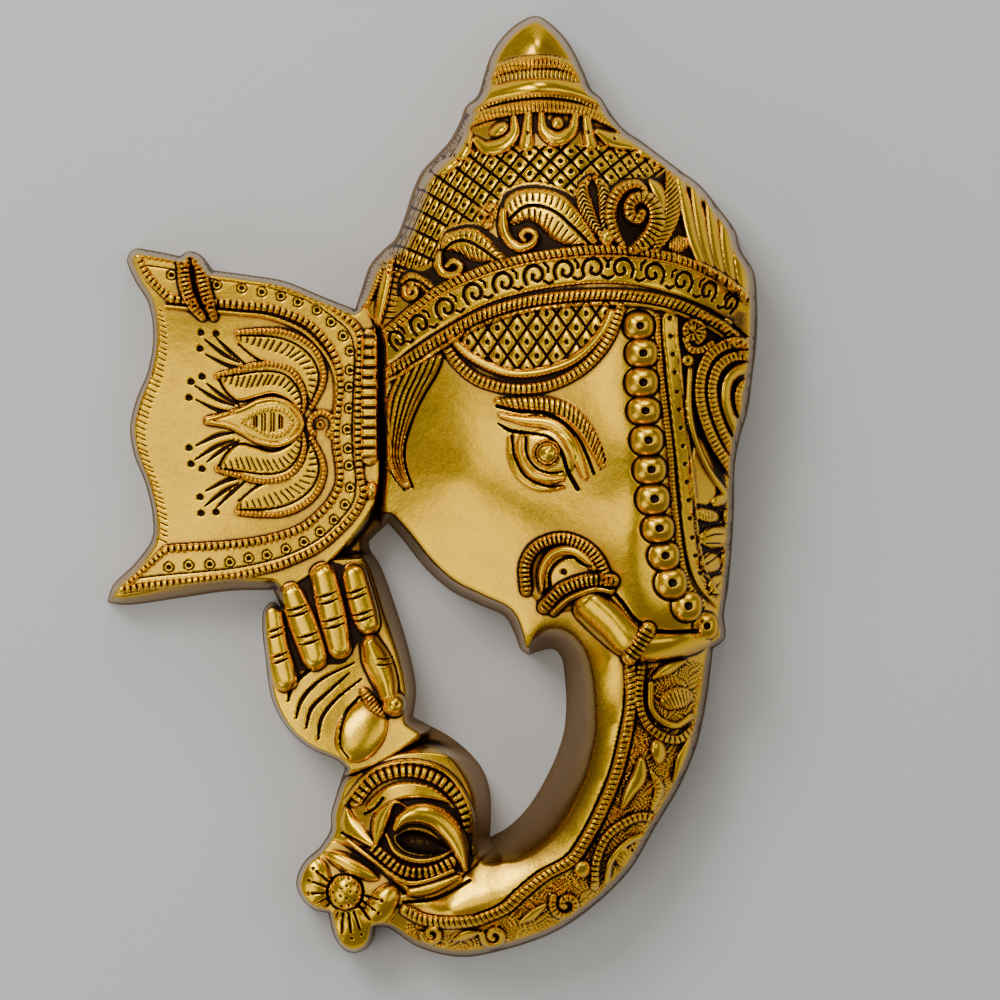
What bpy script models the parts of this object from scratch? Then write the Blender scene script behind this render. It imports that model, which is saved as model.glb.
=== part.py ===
"""A brass ganesha mask, cast in one piece to hang on a wall, lying on the rim of its open back.

The mask is a relief: a form that stands out from the plane of its back and never turns under
itself. Its front is a sheet of heights over that plane, built up from the main forms (ear, head,
trunk, hand, curled tip and flower) and then carved with cords, bands, leaves and grooves. The back
is hollowed to an even wall, and a strap with a nail hole crosses the hollow behind the crown.
X runs right, Y towards the crown and Z out of the face.

The forms and the carving are drawn on a sheet, in units of which the mask is DRAWN_HEIGHT tall,
with x to the right and y down. They all grow with HEIGHT, and their rise from the back with DEPTH.
"""

import math

import bmesh
import bpy
import numpy as np

# Driving sizes, in millimetres.
HEIGHT = 356.0
DEPTH = 70.0
WALL = 4.0
STRAP_WIDTH = 24.0
STRAP_THICKNESS = 4.0
NAIL_HOLE_RADIUS = 3.0
NAIL_HOLE_EDGE = 6.0
NAIL_HOLE_FACETS = 24

# The drawing's height and middle, and where on it the strap crosses and the nail hole is.
DRAWN_HEIGHT = 941.0
MIDDLE = (432.0, 486.5)
STRAP_ROW = 205.0
STRAP_COLUMN = 575.0

BRASS = (0.79, 0.56, 0.17)
BRASS_ROUGHNESS = 0.32

# The grid of the front, in drawing units, and the triangles that the front and the hollow keep.
STEP = 3.4
FRONT_TRIANGLES = 8600
HOLLOW_TRIANGLES = 1900
SPACING = 3.0
FLOOR = 20.0
SUNK = 0.6
OUTLINE_REACH = 60.0
BELOW = -0.7
OUTER_HEIGHT = 60.0
EAR_SIDE = 6.0
FLOWER_SIDE = 6.0
HAND_SIDE = 8.0
HEAD_SIDE = 10.0
CURL_SIDE = 12.0
BEAD_FLARE = 1.5
METRES = 0.001

# Outlines: x, y and the width over which the side rises there. A point given twice is a corner.
OUTLINE = [
    (537, 16, 10), (558, 30, 10), (572, 48, 10), (583, 70, 9), (592, 90, 9), (601, 98, 8), (612, 115, 9),
    (625, 130, 9), (640, 140, 10), (660, 155, 10), (680, 170, 10), (700, 185, 10), (722, 212, 10),
    (735, 230, 10), (741, 250, 10), (754, 272, 10), (757, 300, 10), (757, 335, 10), (752, 380, 9),
    (748, 410, 9), (740, 437, 9), (735, 465, 8), (734, 510, 8), (731, 560, 8), (728, 590, 8),
    (724, 614, 8), (725, 638, 8), (713, 649, 8), (713, 649, 8), (711, 668, 9), (708, 692, 9),
    (703, 720, 9), (697, 745, 9), (680, 786, 9), (655, 828, 9), (630, 870, 9), (595, 905, 9),
    (555, 932, 9), (500, 951, 9), (460, 957, 9), (418, 947, 8), (388, 928, 7), (376, 927, 6),
    (376, 927, 6), (373, 939, 6), (366, 949, 6), (354, 953, 6), (342, 948, 6), (334, 936, 6),
    (328, 913, 6), (328, 913, 6), (315, 910, 6), (302, 899, 6), (296, 883, 6), (303, 863, 6),
    (320, 847, 6), (320, 847, 6), (330, 830, 7), (331, 813, 7), (336, 795, 7), (345, 768, 7),
    (345, 768, 7), (338, 761, 6), (310, 748, 6), (288, 729, 6), (272, 700, 6), (265, 655, 6),
    (262, 626, 6), (264, 609, 5), (272, 602, 5), (281, 607, 5), (281, 607, 5), (273, 590, 12),
    (273, 590, 12), (230, 591, 14), (180, 598, 14), (125, 605, 10), (107, 602, 8), (107, 602, 8),
    (113, 585, 8), (135, 563, 8), (152, 538, 8), (152, 513, 8), (145, 483, 8), (134, 455, 8),
    (130, 428, 8), (136, 400, 8), (148, 370, 8), (153, 335, 8), (148, 303, 8), (135, 281, 8),
    (127, 259, 8), (134, 249, 8), (150, 250, 8), (180, 256, 8), (180, 256, 8), (189, 251, 8),
    (201, 255, 8), (213, 270, 8), (213, 270, 8), (250, 275, 8), (285, 281, 8), (322, 296, 8),
    (355, 309, 8), (355, 309, 8), (361, 291, 12), (370, 265, 14), (384, 249, 16), (395, 239, 18),
    (404, 218, 18), (413, 190, 18), (422, 171, 18), (435, 157, 18), (450, 140, 18), (460, 121, 16),
    (466, 106, 14), (477, 96, 12), (484, 75, 11), (490, 57, 10), (500, 40, 10), (518, 23, 10),
]
WINDOW = [
    (388, 523, 12), (388, 523, 12), (402, 539, 12), (425, 568, 12), (450, 590, 12), (480, 605, 12),
    (505, 617, 11), (515, 635, 9), (521, 650, 7), (529, 655, 8), (529, 655, 8), (540, 651, 20),
    (553, 649, 25), (561, 657, 27), (565, 680, 30), (566, 710, 32), (563, 735, 34), (550, 770, 38),
    (528, 807, 40), (508, 827, 36), (490, 837, 28), (490, 837, 28), (491, 815, 22), (489, 787, 22),
    (480, 765, 22), (455, 740, 16), (425, 723, 12), (413, 717, 10), (413, 717, 10), (416, 690, 12),
    (410, 655, 13), (395, 605, 16), (380, 565, 14), (370, 549, 12), (369, 541, 12), (369, 541, 12),
]

# Each form: an edge, wide of the outline where the outline bounds it, the width over which its
# side rises, and places (x, y, height) that its top is bent through.
EAR_EDGE = [
    (80, 220), (230, 235), (310, 262), (366, 296), (381, 330), (384, 360), (384, 480), (376, 512),
    (334, 564), (290, 594), (250, 625), (80, 640),
]
EAR_TOP = [
    (140, 262, 50), (190, 280, 58), (260, 300, 62), (330, 325, 66), (356, 400, 66), (352, 480, 66),
    (300, 545, 60), (200, 570, 54), (115, 597, 40), (160, 345, 46), (142, 430, 42), (155, 520, 44),
    (250, 420, 56), (210, 350, 52), (210, 500, 52), (300, 420, 61),
]
HEAD_EDGE = [
    (400, 205), (374, 235), (350, 270), (348, 296), (364, 322), (376, 336), (378, 400), (380, 470),
    (378, 520), (440, 660), (520, 700), (536, 745), (490, 832), (462, 850), (430, 874), (384, 892),
    (366, 915), (366, 990), (640, 960), (760, 780), (800, 400), (780, 180), (640, 80), (600, -20),
    (480, -20), (430, 90), (380, 190),
]
HEAD_TOP = [
    (537, 20, 52), (537, 45, 76), (500, 52, 56), (575, 55, 54), (540, 90, 92), (485, 95, 66),
    (592, 95, 64), (545, 132, 112), (458, 140, 72), (630, 142, 76), (500, 195, 126), (560, 190, 144),
    (425, 205, 86), (640, 195, 128), (708, 210, 76), (390, 262, 76), (392, 345, 90), (440, 300, 116),
    (520, 275, 146), (600, 268, 160), (680, 282, 142), (742, 310, 88), (395, 430, 86), (400, 500, 84),
    (440, 565, 92), (490, 594, 104), (530, 630, 112), (430, 420, 110), (460, 480, 124), (505, 420, 138),
    (520, 510, 142), (565, 460, 156), (560, 560, 146), (605, 500, 166), (570, 350, 158), (500, 350, 140),
    (640, 340, 170), (645, 440, 176), (655, 520, 168), (675, 585, 150), (700, 615, 126), (735, 360, 92),
    (738, 420, 84), (722, 500, 84), (716, 580, 82), (690, 430, 140), (698, 520, 122), (600, 600, 152),
    (588, 655, 116), (608, 660, 138), (640, 664, 142), (680, 668, 112), (702, 670, 74), (590, 722, 110),
    (616, 722, 134), (640, 726, 130), (675, 730, 104), (696, 734, 64), (578, 768, 106), (605, 775, 128),
    (632, 784, 120), (660, 794, 92), (674, 800, 60), (558, 814, 102), (583, 828, 120), (606, 842, 112),
    (626, 854, 86), (638, 864, 56), (524, 850, 96), (548, 870, 112), (568, 888, 102), (584, 902, 78),
    (592, 908, 52), (480, 875, 90), (504, 896, 104), (514, 916, 92), (522, 932, 72), (526, 943, 48),
    (440, 892, 82), (450, 908, 94), (455, 926, 84), (460, 950, 46), (398, 906, 74), (400, 930, 56),
]
HAND_EDGE = [
    (258, 596), (292, 572), (318, 556), (352, 552), (378, 552), (400, 570), (440, 690), (436, 724),
    (392, 762), (346, 778), (300, 770), (240, 720), (235, 620),
]
HAND_TOP = [
    (275, 620, 58), (283, 690, 66), (305, 600, 60), (340, 590, 62), (362, 590, 62), (330, 660, 70),
    (300, 720, 74), (340, 740, 80), (350, 700, 72), (380, 650, 70), (390, 700, 78), (372, 745, 82),
]
CURL_EDGE = [
    (338, 776), (362, 758), (400, 742), (450, 744), (500, 770), (512, 830), (484, 868), (440, 897),
    (412, 902), (392, 888), (368, 868), (342, 852), (322, 844), (312, 828), (314, 800),
]
CURL_TOP = [
    (345, 800, 66), (372, 780, 82), (400, 765, 88), (440, 772, 90), (466, 800, 88), (470, 850, 90),
    (440, 888, 92), (400, 890, 90), (350, 870, 78), (400, 830, 96), (430, 850, 96),
]
FLOWER_EDGE = [
    (280, 866), (302, 838), (334, 834), (374, 852), (404, 880), (408, 905), (392, 925), (382, 962),
    (330, 966), (316, 925), (282, 914),
]
FLOWER_TOP = [
    (300, 880, 58), (318, 882, 64), (345, 887, 70), (350, 925, 62), (352, 945, 54), (385, 900, 74),
    (335, 852, 66), (372, 866, 72),
]

RING_BEADS = [
    (637, 328, 13), (640, 355, 13), (640, 385, 14), (642, 411, 14), (645, 441, 14), (648, 470, 14),
    (650, 500, 15), (656, 528, 14), (661, 554, 14), (669, 583, 14.5), (684, 604, 14), (704, 624, 12),
]


def clear_scene():
    """Removes whatever the scene holds."""
    for thing in list(bpy.data.objects):
        bpy.data.objects.remove(thing)


def placed(points):
    """Points of the drawing, moved to its middle with y turned upwards."""
    rows = np.array(points, float)
    rows[:, 0] -= MIDDLE[0]
    rows[:, 1] = MIDDLE[1] - rows[:, 1]
    return rows


def run_through(knots, closed):
    """A centripetal Catmull-Rom curve through the knots, eight points to each stretch."""
    if len(knots) == 2 and not closed:
        return knots
    if closed:
        ring = np.vstack([knots[-1:], knots, knots[:2]])
    else:
        ring = np.vstack([2 * knots[:1] - knots[1:2], knots, 2 * knots[-1:] - knots[-2:-1]])
    share = np.linspace(0.0, 1.0, 8, endpoint=False)[:, None]
    line = []
    for i in range(1, len(ring) - 2):
        four = ring[i - 1 : i + 3]
        gaps = np.maximum(np.hypot(*np.diff(four[:, :2], axis=0).T) ** 0.5, 1e-4)
        t = np.concatenate([[0.0], np.cumsum(gaps)])
        at = t[1] + share * (t[2] - t[1])

        def mix(a, b, low, high):
            return a * (high - at) / (high - low) + b * (at - low) / (high - low)

        one = mix(four[0], four[1], t[0], t[1])
        two = mix(four[1], four[2], t[1], t[2])
        three = mix(four[2], four[3], t[2], t[3])
        line.append(mix(mix(one, two, t[0], t[2]), mix(two, three, t[1], t[3]), t[1], t[2]))
    return np.vstack(line + [ring[len(ring) - 2 : len(ring) - 1]])


def curve(points, closed=False):
    """Evenly spaced places on a smooth curve through the points of the drawing."""
    knots = placed(points)
    same = np.all(np.isclose(knots, np.roll(knots, 1, axis=0)), axis=1)
    corners = [i for i in np.flatnonzero(same) if closed or i > 0]
    if closed and corners:
        knots = np.roll(knots, -corners[0], axis=0)
        knots = np.vstack([knots, knots[:1]])
        closed = False
    runs, start = [], 0
    for i in range(1, len(knots)):
        if np.allclose(knots[i], knots[i - 1]):
            runs.append(knots[start:i])
            start = i
    runs.append(knots[start:])
    drawn = [run_through(run, closed) for run in runs if len(run) > 1]
    line = np.vstack([drawn[0]] + [more[1:] for more in drawn[1:]])
    places = arc_lengths(line)
    even = np.linspace(0.0, places[-1], max(2, round(places[-1] / SPACING)) + 1)
    return np.column_stack([np.interp(even, places, column) for column in line.T])


def arc_lengths(path):
    """The place of each point of a path, as its length from the path's start."""
    return np.concatenate([[0.0], np.cumsum(np.hypot(*np.diff(path[:, :2], axis=0).T))])


def spiral(x, y, inner, outer, start, turns):
    """Points of the drawing along a spiral, from its outer end, with the start angle in degrees."""
    points = []
    count = max(6, round(abs(turns) * 8))
    for i in range(count + 1):
        share = i / count
        radius = outer + (inner - outer) * share
        angle = math.radians(start + 360 * turns * share)
        points.append((x + radius * math.cos(angle), y - radius * math.sin(angle)))
    return points


def bent_sheet(stations, x, y):
    """Heights of a thin sheet bent smoothly through the stations."""
    known = placed(stations)

    def spring(gap_squared):
        return 0.5 * gap_squared * np.log(gap_squared + 1e-9)

    across = known[:, None, :2] - known[None, :, :2]
    count = len(known)
    system = np.zeros((count + 3, count + 3))
    system[:count, :count] = spring((across**2).sum(-1))
    system[:count, count] = system[count, :count] = 1.0
    system[:count, count + 1 :] = known[:, :2]
    system[count + 1 :, :count] = known[:, :2].T
    pull = np.linalg.solve(system, np.concatenate([known[:, 2], np.zeros(3)]))
    heights = pull[count] + pull[count + 1] * x + pull[count + 2] * y
    for (px, py, _), strength in zip(known, pull):
        heights = heights + strength * spring((x - px) ** 2 + (y - py) ** 2)
    return heights


class Sheet:
    """Heights above the back on an even grid, in drawing units, and the tools that carve them."""

    HALF_WIDTH = 345.0
    HALF_HEIGHT = 490.0

    def __init__(self, step):
        self.step = step
        self.xs = np.arange(-self.HALF_WIDTH, self.HALF_WIDTH + step, step)
        self.ys = np.arange(-self.HALF_HEIGHT, self.HALF_HEIGHT + step, step)
        self.z = np.full((len(self.ys), len(self.xs)), FLOOR)
        self.ground = self.z

    def block(self, low, high):
        """The rows and columns between two corners."""
        rows = slice(*np.searchsorted(self.ys, (low[1], high[1])))
        cols = slice(*np.searchsorted(self.xs, (low[0], high[0])))
        return rows, cols

    def near(self, path, reach):
        """The block within reach of a path, with the distance to it there and the place along it."""
        places = path[:, :2]
        rows, cols = self.block(places.min(0) - reach, places.max(0) + reach)
        x, y = self.xs[cols], self.ys[rows]
        best = np.full((len(y), len(x)), float(reach) ** 2)
        along = np.zeros_like(best)
        begun = 0.0
        for a, b in zip(places[:-1], places[1:]):
            edge = b - a
            length = math.hypot(*edge)
            if length == 0:
                continue
            r = slice(*np.searchsorted(y, (min(a[1], b[1]) - reach, max(a[1], b[1]) + reach)))
            c = slice(*np.searchsorted(x, (min(a[0], b[0]) - reach, max(a[0], b[0]) + reach)))
            dx, dy = x[c] - a[0], (y[r] - a[1])[:, None]
            share = np.clip((dx * edge[0] + dy * edge[1]) / length**2, 0.0, 1.0)
            gap = (dx - share * edge[0]) ** 2 + (dy - share * edge[1]) ** 2
            closer = gap < best[r, c]
            best[r, c] = np.where(closer, gap, best[r, c])
            along[r, c] = np.where(closer, begun + share * length, along[r, c])
            begun += length
        return rows, cols, np.sqrt(best), along

    def inside(self, path, rows=slice(None), cols=slice(None)):
        """Which points of the block lie within a closed path."""
        x, y = self.xs[cols], self.ys[rows]
        within = np.zeros((len(y), len(x)), bool)
        for (ax, ay), (bx, by) in zip(path[:, :2], np.roll(path[:, :2], -1, axis=0)):
            if ay == by:
                continue
            r = slice(*np.searchsorted(y, (min(ay, by), max(ay, by))))
            crossing = ax + (bx - ax) * (y[r] - ay) / (by - ay)
            within[r] ^= x < crossing[:, None]
        return within

    def form(self, edge, stations, side):
        """Adds a main form, whose side rises from its edge to a bent sheet."""
        path = curve(edge, closed=True)
        rows, cols = self.block(path.min(0), path.max(0))
        x, y = self.xs[cols][None, :], self.ys[rows][:, None]
        top = np.maximum(bent_sheet(stations, x, y), FLOOR)
        near_rows, near_cols, gap, _ = self.near(path, side)
        rise = np.full(self.z.shape, 1.0)
        rise[near_rows, near_cols] = np.sin(0.5 * math.pi * gap / side)
        height = np.where(self.inside(path, rows, cols), top * rise[rows, cols], FLOOR)
        self.z[rows, cols] = np.maximum(self.z[rows, cols], height)

    def cut_to(self, outline, outwards):
        """Brings the heights down to the back along an outline, and below it beyond."""
        path = curve(outline, closed=True)
        rows, cols, gap, along = self.near(path, OUTLINE_REACH)
        width = np.interp(along, arc_lengths(path), path[:, 2])
        within = self.inside(path, rows, cols)
        signed = np.where(within == outwards, gap, -gap)
        share = np.full(self.z.shape, -1.0 if outwards else 1.0)
        share[self.inside(path)] = 1.0 if outwards else -1.0
        share[rows, cols] = np.sin(0.5 * math.pi * np.clip(signed / width, BELOW, 1))
        self.z = np.where(share > 0, self.z * share, np.minimum(self.z, OUTER_HEIGHT) * share)

    def settle(self):
        """Takes the sheet as it stands for the ground that the next carving rises from."""
        self.ground = self.z.copy()

    def lift(self, rows, cols, rise):
        """Raises the block to a height over the ground, where that is higher than it stands."""
        raised = self.ground[rows, cols] + rise
        self.z[rows, cols] = np.where(rise > 0, np.maximum(self.z[rows, cols], raised), self.z[rows, cols])

    def cord(self, points, half_width, height, square=False, closed=False):
        """Raises a round or a flat moulding along a curve. A third number in a point is its half width."""
        path = curve(points, closed)
        reach = path[:, 2].max() if path.shape[1] > 2 else half_width
        rows, cols, gap, along = self.near(path, reach)
        half = reach
        if path.shape[1] > 2:
            half = np.maximum(np.interp(along, arc_lengths(path), path[:, 2]), 0.5)
        share = np.clip(1 - (gap / half) ** (6 if square else 2), 0, 1)
        self.lift(rows, cols, height * share**0.5)

    def groove(self, points, half_width, depth, closed=False):
        """Cuts a round groove along a curve."""
        path = curve(points, closed)
        rows, cols, gap, _ = self.near(path, half_width)
        self.z[rows, cols] -= depth * np.clip(1 - (gap / half_width) ** 2, 0, 1)

    def patch(self, outline, height, bevel):
        """Raises, or with a height below nought lowers, an outline's inside with a bevelled edge."""
        path = curve(outline, closed=True)
        rows, cols, gap, _ = self.near(path, bevel)
        within = self.inside(path, rows, cols)
        rise = abs(height) * np.where(within, np.clip(gap / bevel, 0, 1), 0.0) ** 0.6
        if height < 0:
            self.z[rows, cols] -= rise
        else:
            self.lift(rows, cols, rise)

    def boss(self, x, y, radius, height, hole=0.0):
        """Raises a round boss, with a dimple in it where a hole is given."""
        x, y = x - MIDDLE[0], MIDDLE[1] - y
        rows, cols = self.block((x - radius, y - radius), (x + radius, y + radius))
        gap = np.hypot(self.xs[cols][None, :] - x, self.ys[rows][:, None] - y) / radius
        self.lift(rows, cols, height * np.clip(1 - gap**2.6, 0, 1) ** 0.5)
        if hole:
            self.z[rows, cols] -= hole * np.clip(1 - (gap * 3.0) ** 2, 0, 1)

    def lobe(self, x, y, long, wide, turn, height):
        """Raises an oval mound of the given half length and half width, turned by an angle in degrees."""
        x, y = x - MIDDLE[0], MIDDLE[1] - y
        rows, cols = self.block((x - long, y - long), (x + long, y + long))
        dx, dy = self.xs[cols][None, :] - x, self.ys[rows][:, None] - y
        c, s = math.cos(math.radians(turn)), math.sin(math.radians(turn))
        gap = ((dx * c + dy * s) / long) ** 2 + ((dy * c - dx * s) / wide) ** 2
        self.lift(rows, cols, height * np.clip(1 - gap, 0, 1) ** 0.5)


def carve_crown(sheet):
    """The stepped spire, the collar of petals, the leaf scrolls and the folds at the right."""
    sheet.cord([(490, 61, 5), (538, 66, 7), (582, 72, 5)], 7, 8)
    sheet.cord([(480, 92, 7), (538, 86, 9), (596, 94, 7)], 9, 9)
    sheet.cord([(462, 122, 7), (540, 111, 8), (618, 122, 7)], 8, 9)
    for x, y, long, wide, turn in (
        (557, 130, 20, 18, 0), (499, 138, 20, 13, 20), (614, 140, 17, 9, -20), (446, 168, 14, 8, 25),
        (643, 152, 11, 7, -35), (426, 182, 10, 7, 40), (660, 163, 8, 6, -40),
    ):
        sheet.lobe(x, y, long, wide, turn, 10)
    for outer in (
        [(598, 240, 3), (585, 215, 6), (560, 195, 8), (536, 188, 9), (514, 196, 8), (503, 216, 6), (511, 246, 4)],
        [(504, 262, 3), (480, 234, 7), (460, 228, 8), (444, 238, 6), (440, 256, 5), (445, 272, 4)],
        [(442, 290, 3), (420, 276, 6), (406, 272, 6), (402, 288, 4)],
        [(600, 236, 4), (584, 210, 7), (582, 184, 3)], [(612, 232, 4), (604, 205, 7), (597, 180, 3)],
        [(608, 238, 5), (607, 208, 6), (618, 188, 7), (637, 184, 7), (656, 200, 7), (656, 226, 6), (648, 242, 4)],
        [(652, 184, 4), (664, 176, 6), (672, 205, 7), (660, 240, 5)],
    ):
        sheet.cord(outer, 8, 10)
    sheet.cord(spiral(525, 240, 3, 14, 200, 1.2), 4, 9)
    sheet.cord(spiral(452, 268, 2, 10, 180, 1.0), 3.5, 8)
    sheet.cord(spiral(410, 296, 2, 9, 180, 1.0), 3.5, 8)
    sheet.cord(spiral(636, 214, 3, 13, 60, -1.2), 4, 8)
    sheet.boss(607, 238, 8, 10)
    for shift in range(5):
        sheet.cord(
            [(677 + 15 * shift, 178 + 12 * shift, 4), (685 + 13 * shift, 210 + 9 * shift, 7),
             (692 + 12 * shift, 242 + 9 * shift, 7), (700 + 10.5 * shift, 264 + 8 * shift, 6)], 7, 9
        )


def carve_band(sheet):
    """The headband with its two borders, the net panel on the forehead and the tuft beside it."""
    band = [(388, 350), (400, 339), (440, 313), (480, 292), (520, 280), (560, 273), (600, 270),
            (640, 273), (680, 283), (720, 299), (752, 322)]
    sheet.cord(band, 17, 6, square=True)
    sheet.cord([(x, y - 19) for x, y in band], 4.5, 12)
    sheet.cord([(x, y + 27) for x, y in band], 6.5, 14)
    sheet.cord([(452, 340), (470, 357), (500, 372), (520, 375), (545, 372), (575, 360), (600, 335), (610, 315)], 5, 9)
    sheet.cord([(445, 345), (455, 361), (475, 379), (500, 388), (520, 390), (550, 386), (580, 371), (600, 351),
                (616, 325)], 6, 11)
    sheet.cord([(366, 300, 4), (374, 275, 9), (388, 256, 6)], 9, 8)
    sheet.cord([(380, 330, 4), (388, 300, 7), (394, 268, 4)], 7, 9)


def carve_face(sheet):
    """The hair lock, the brow, the eye, the strings of beads and the ornament at the right."""
    for low, high, mid in ((404, 401, 390), (402, 414, 397), (404, 426, 404), (408, 438, 409)):
        sheet.cord([(high, 366, 3), (mid, 410, 7), (mid + 1, 455, 6), (low + 6, 488, 2)], 7, 6)
    sheet.cord([(496, 402, 4), (530, 406, 9), (562, 410, 9), (584, 426, 8), (596, 450, 7), (604, 474, 3)], 9, 9)
    sheet.cord([(499, 420, 2), (515, 431, 4), (548, 431, 5), (566, 446, 4), (577, 486, 2)], 5, 7)
    sheet.cord([(514, 436, 2), (511, 455, 4), (520, 476, 4), (540, 487, 4), (563, 482, 2)], 4, 6)
    sheet.lobe(545, 455, 22, 18, 0, 9)
    sheet.boss(546, 454, 12, 13, hole=3)
    sheet.cord([(654, 318), (655, 345), (660, 390), (668, 450), (674, 520), (684, 575), (704, 602)], 3, 7)
    sheet.cord([(669, 322), (672, 365), (674, 400), (681, 450), (688, 515), (694, 560), (706, 585), (722, 604)],
               8, 6, square=True)
    for x, y, radius in RING_BEADS:
        sheet.boss(x, y, radius + BEAD_FLARE, 14, hole=5)
    for radius in (14, 28, 42, 56):
        sheet.cord([(742, 395 - 1.15 * radius, 3), (734 - 0.9 * radius, 395 - 0.6 * radius, 5),
                    (736 - radius, 400, 6), (734 - 0.8 * radius, 395 + radius, 5),
                    (736 - 0.2 * radius, 396 + 1.6 * radius, 3)], 6, 7)
    sheet.cord(spiral(691, 331, 3, 11, 0, 1.2), 4, 7)
    for x, y, turn in ((711, 512, 100), (722, 533, 60), (712, 560, 110)):
        sheet.lobe(x, y, 12, 7, turn, 8)


def carve_tusk(sheet):
    """The socket, the two ringed sleeves and the stub of the tusk, laid over the trunk's root."""
    sheet.lobe(566, 580, 42, 40, 0, 14)
    sheet.cord([(526, 590, 4), (524, 566, 5), (534, 547, 6), (560, 538, 6), (585, 546, 6), (602, 566, 6),
                (607, 584, 4)], 6, 19)
    sheet.settle()
    sheet.cord([(576, 598, 17), (598, 617, 17), (622, 635, 16), (645, 644, 14), (672, 645, 12), (698, 641, 7)], 17, 19)
    sheet.cord([(546, 606, 6), (553, 594, 8), (570, 584, 9), (592, 578, 8), (606, 580, 6)], 9, 17)
    sheet.cord([(648, 624, 6), (642, 640, 9), (627, 662, 6)], 9, 25)


def carve_ear(sheet):
    """The rim with its beaded borders, the two binding rings and the lotus cut on the plate."""
    outer = [(146, 256), (180, 264), (212, 274), (262, 282), (290, 289), (320, 301), (345, 318), (356, 334),
             (360, 360), (359, 420), (361, 480), (360, 505), (348, 522), (320, 546), (285, 563), (250, 572),
             (220, 577), (180, 580), (124, 588)]
    inner = [(168, 296), (210, 303), (240, 306), (270, 309), (292, 316), (312, 327), (326, 341), (335, 356),
             (340, 374), (339, 410), (337, 440), (341, 470), (338, 488), (322, 512), (305, 526), (285, 534),
             (240, 544), (200, 547), (158, 551)]
    sheet.patch(outer + inner[::-1], 6, 4)
    sheet.cord(outer, 4, 10)
    sheet.cord(inner, 4.5, 10)
    sheet.cord([(139, 258), (148, 276), (168, 298)], 4, 9)
    sheet.cord([(160, 551), (146, 566), (124, 586)], 4, 9)
    sheet.cord([(184, 256, 7), (186, 278, 6), (194, 304, 6), (203, 316, 4)], 7, 18)
    sheet.cord([(197, 259, 7), (199, 280, 6), (207, 304, 6), (215, 315, 4)], 7, 18)
    sheet.cord([(370, 338), (370, 398), (370, 456)], 9, 14, square=True)
    sheet.lobe(371, 468, 12, 10, 90, 22)
    sheet.lobe(374, 490, 10, 6, 90, 14)
    for side in (1, -1):
        axis = 423
        sheet.patch([(236, axis - 88 * side), (262, axis - 91 * side), (297, axis - 85 * side),
                     (322, axis - 58 * side), (322, axis - 34 * side), (300, axis - 16 * side),
                     (290, axis - 45 * side), (262, axis - 62 * side)], 6, 4)
        sheet.patch([(219, axis - 48 * side), (245, axis - 56 * side), (275, axis - 58 * side),
                     (299, axis - 42 * side), (306, axis - 20 * side), (290, axis - 16 * side),
                     (268, axis - 26 * side), (238, axis - 24 * side)], 6, 4)
    sheet.patch([(206, 423), (206, 423), (240, 409), (272, 399), (294, 405), (304, 423), (294, 441), (272, 446),
                 (240, 436)], 8, 5)
    sheet.boss(322, 425, 13, 6, hole=3)


def carve_hand(sheet):
    """The four fingers with their joints, the thumb and its ring, the pad and the cut of the palm."""
    for points, joints in (
        ([(272, 613, 10), (276, 645, 12), (283, 670, 13), (285, 676, 12)], ((274, 632), (279, 657))),
        ([(293, 595, 12), (303, 622, 14), (313, 648, 14), (315, 656, 13)], ((299, 610), (310, 638))),
        ([(324, 575, 12), (331, 606, 14), (339, 638, 14), (341, 647, 13)], ((328, 598), (335, 622))),
        ([(354, 574, 11), (361, 598, 13), (366, 616, 12), (367, 622, 11)], ((357, 593), (364, 615))),
    ):
        sheet.cord(points, 13, 16)
        for x, y in joints:
            sheet.groove([(x - 11, y + 3), (x + 10, y - 2)], 3, 4)
    sheet.lobe(362, 730, 33, 24, 62, 12)
    sheet.cord([(370, 640, 8), (376, 652, 12), (382, 668, 13), (387, 684, 12), (389, 694, 10)], 12, 22)
    sheet.boss(395, 703, 13, 28)
    for points in (
        [(290, 700), (294, 685), (312, 668)], [(298, 715), (304, 698), (322, 678), (352, 664)],
        [(308, 727), (314, 708), (332, 690), (350, 673)], [(320, 738), (324, 718), (338, 702), (358, 682)],
        [(358, 704), (345, 722), (346, 748)],
    ):
        sheet.groove(points, 3.5, 4)


def carve_trunk(sheet):
    """The rope that runs down the trunk and the medallions and leaves beside it."""
    rope = [(632, 668), (629, 700), (626, 730), (619, 757), (609, 783), (596, 807), (580, 832), (562, 855),
            (543, 873), (520, 892), (497, 907), (475, 916), (452, 920), (430, 917), (408, 907)]
    sheet.cord(rope, 6.5, 9)
    for x, y, radius, start in ((672, 700, 27, 60), (612, 866, 26, 130), (650, 790, 14, 40), (560, 906, 17, 150),
                                (500, 930, 12, 170), (440, 938, 10, 180)):
        sheet.cord(spiral(x, y, 4, radius, start, 1.3), 5, 9)
    for x, y, turn in ((664, 668, 20), (656, 748, 60), (640, 770, 50), (640, 815, 60), (530, 922, 20), (470, 938, 0)):
        sheet.lobe(x, y, 13, 7, turn, 9)


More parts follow.
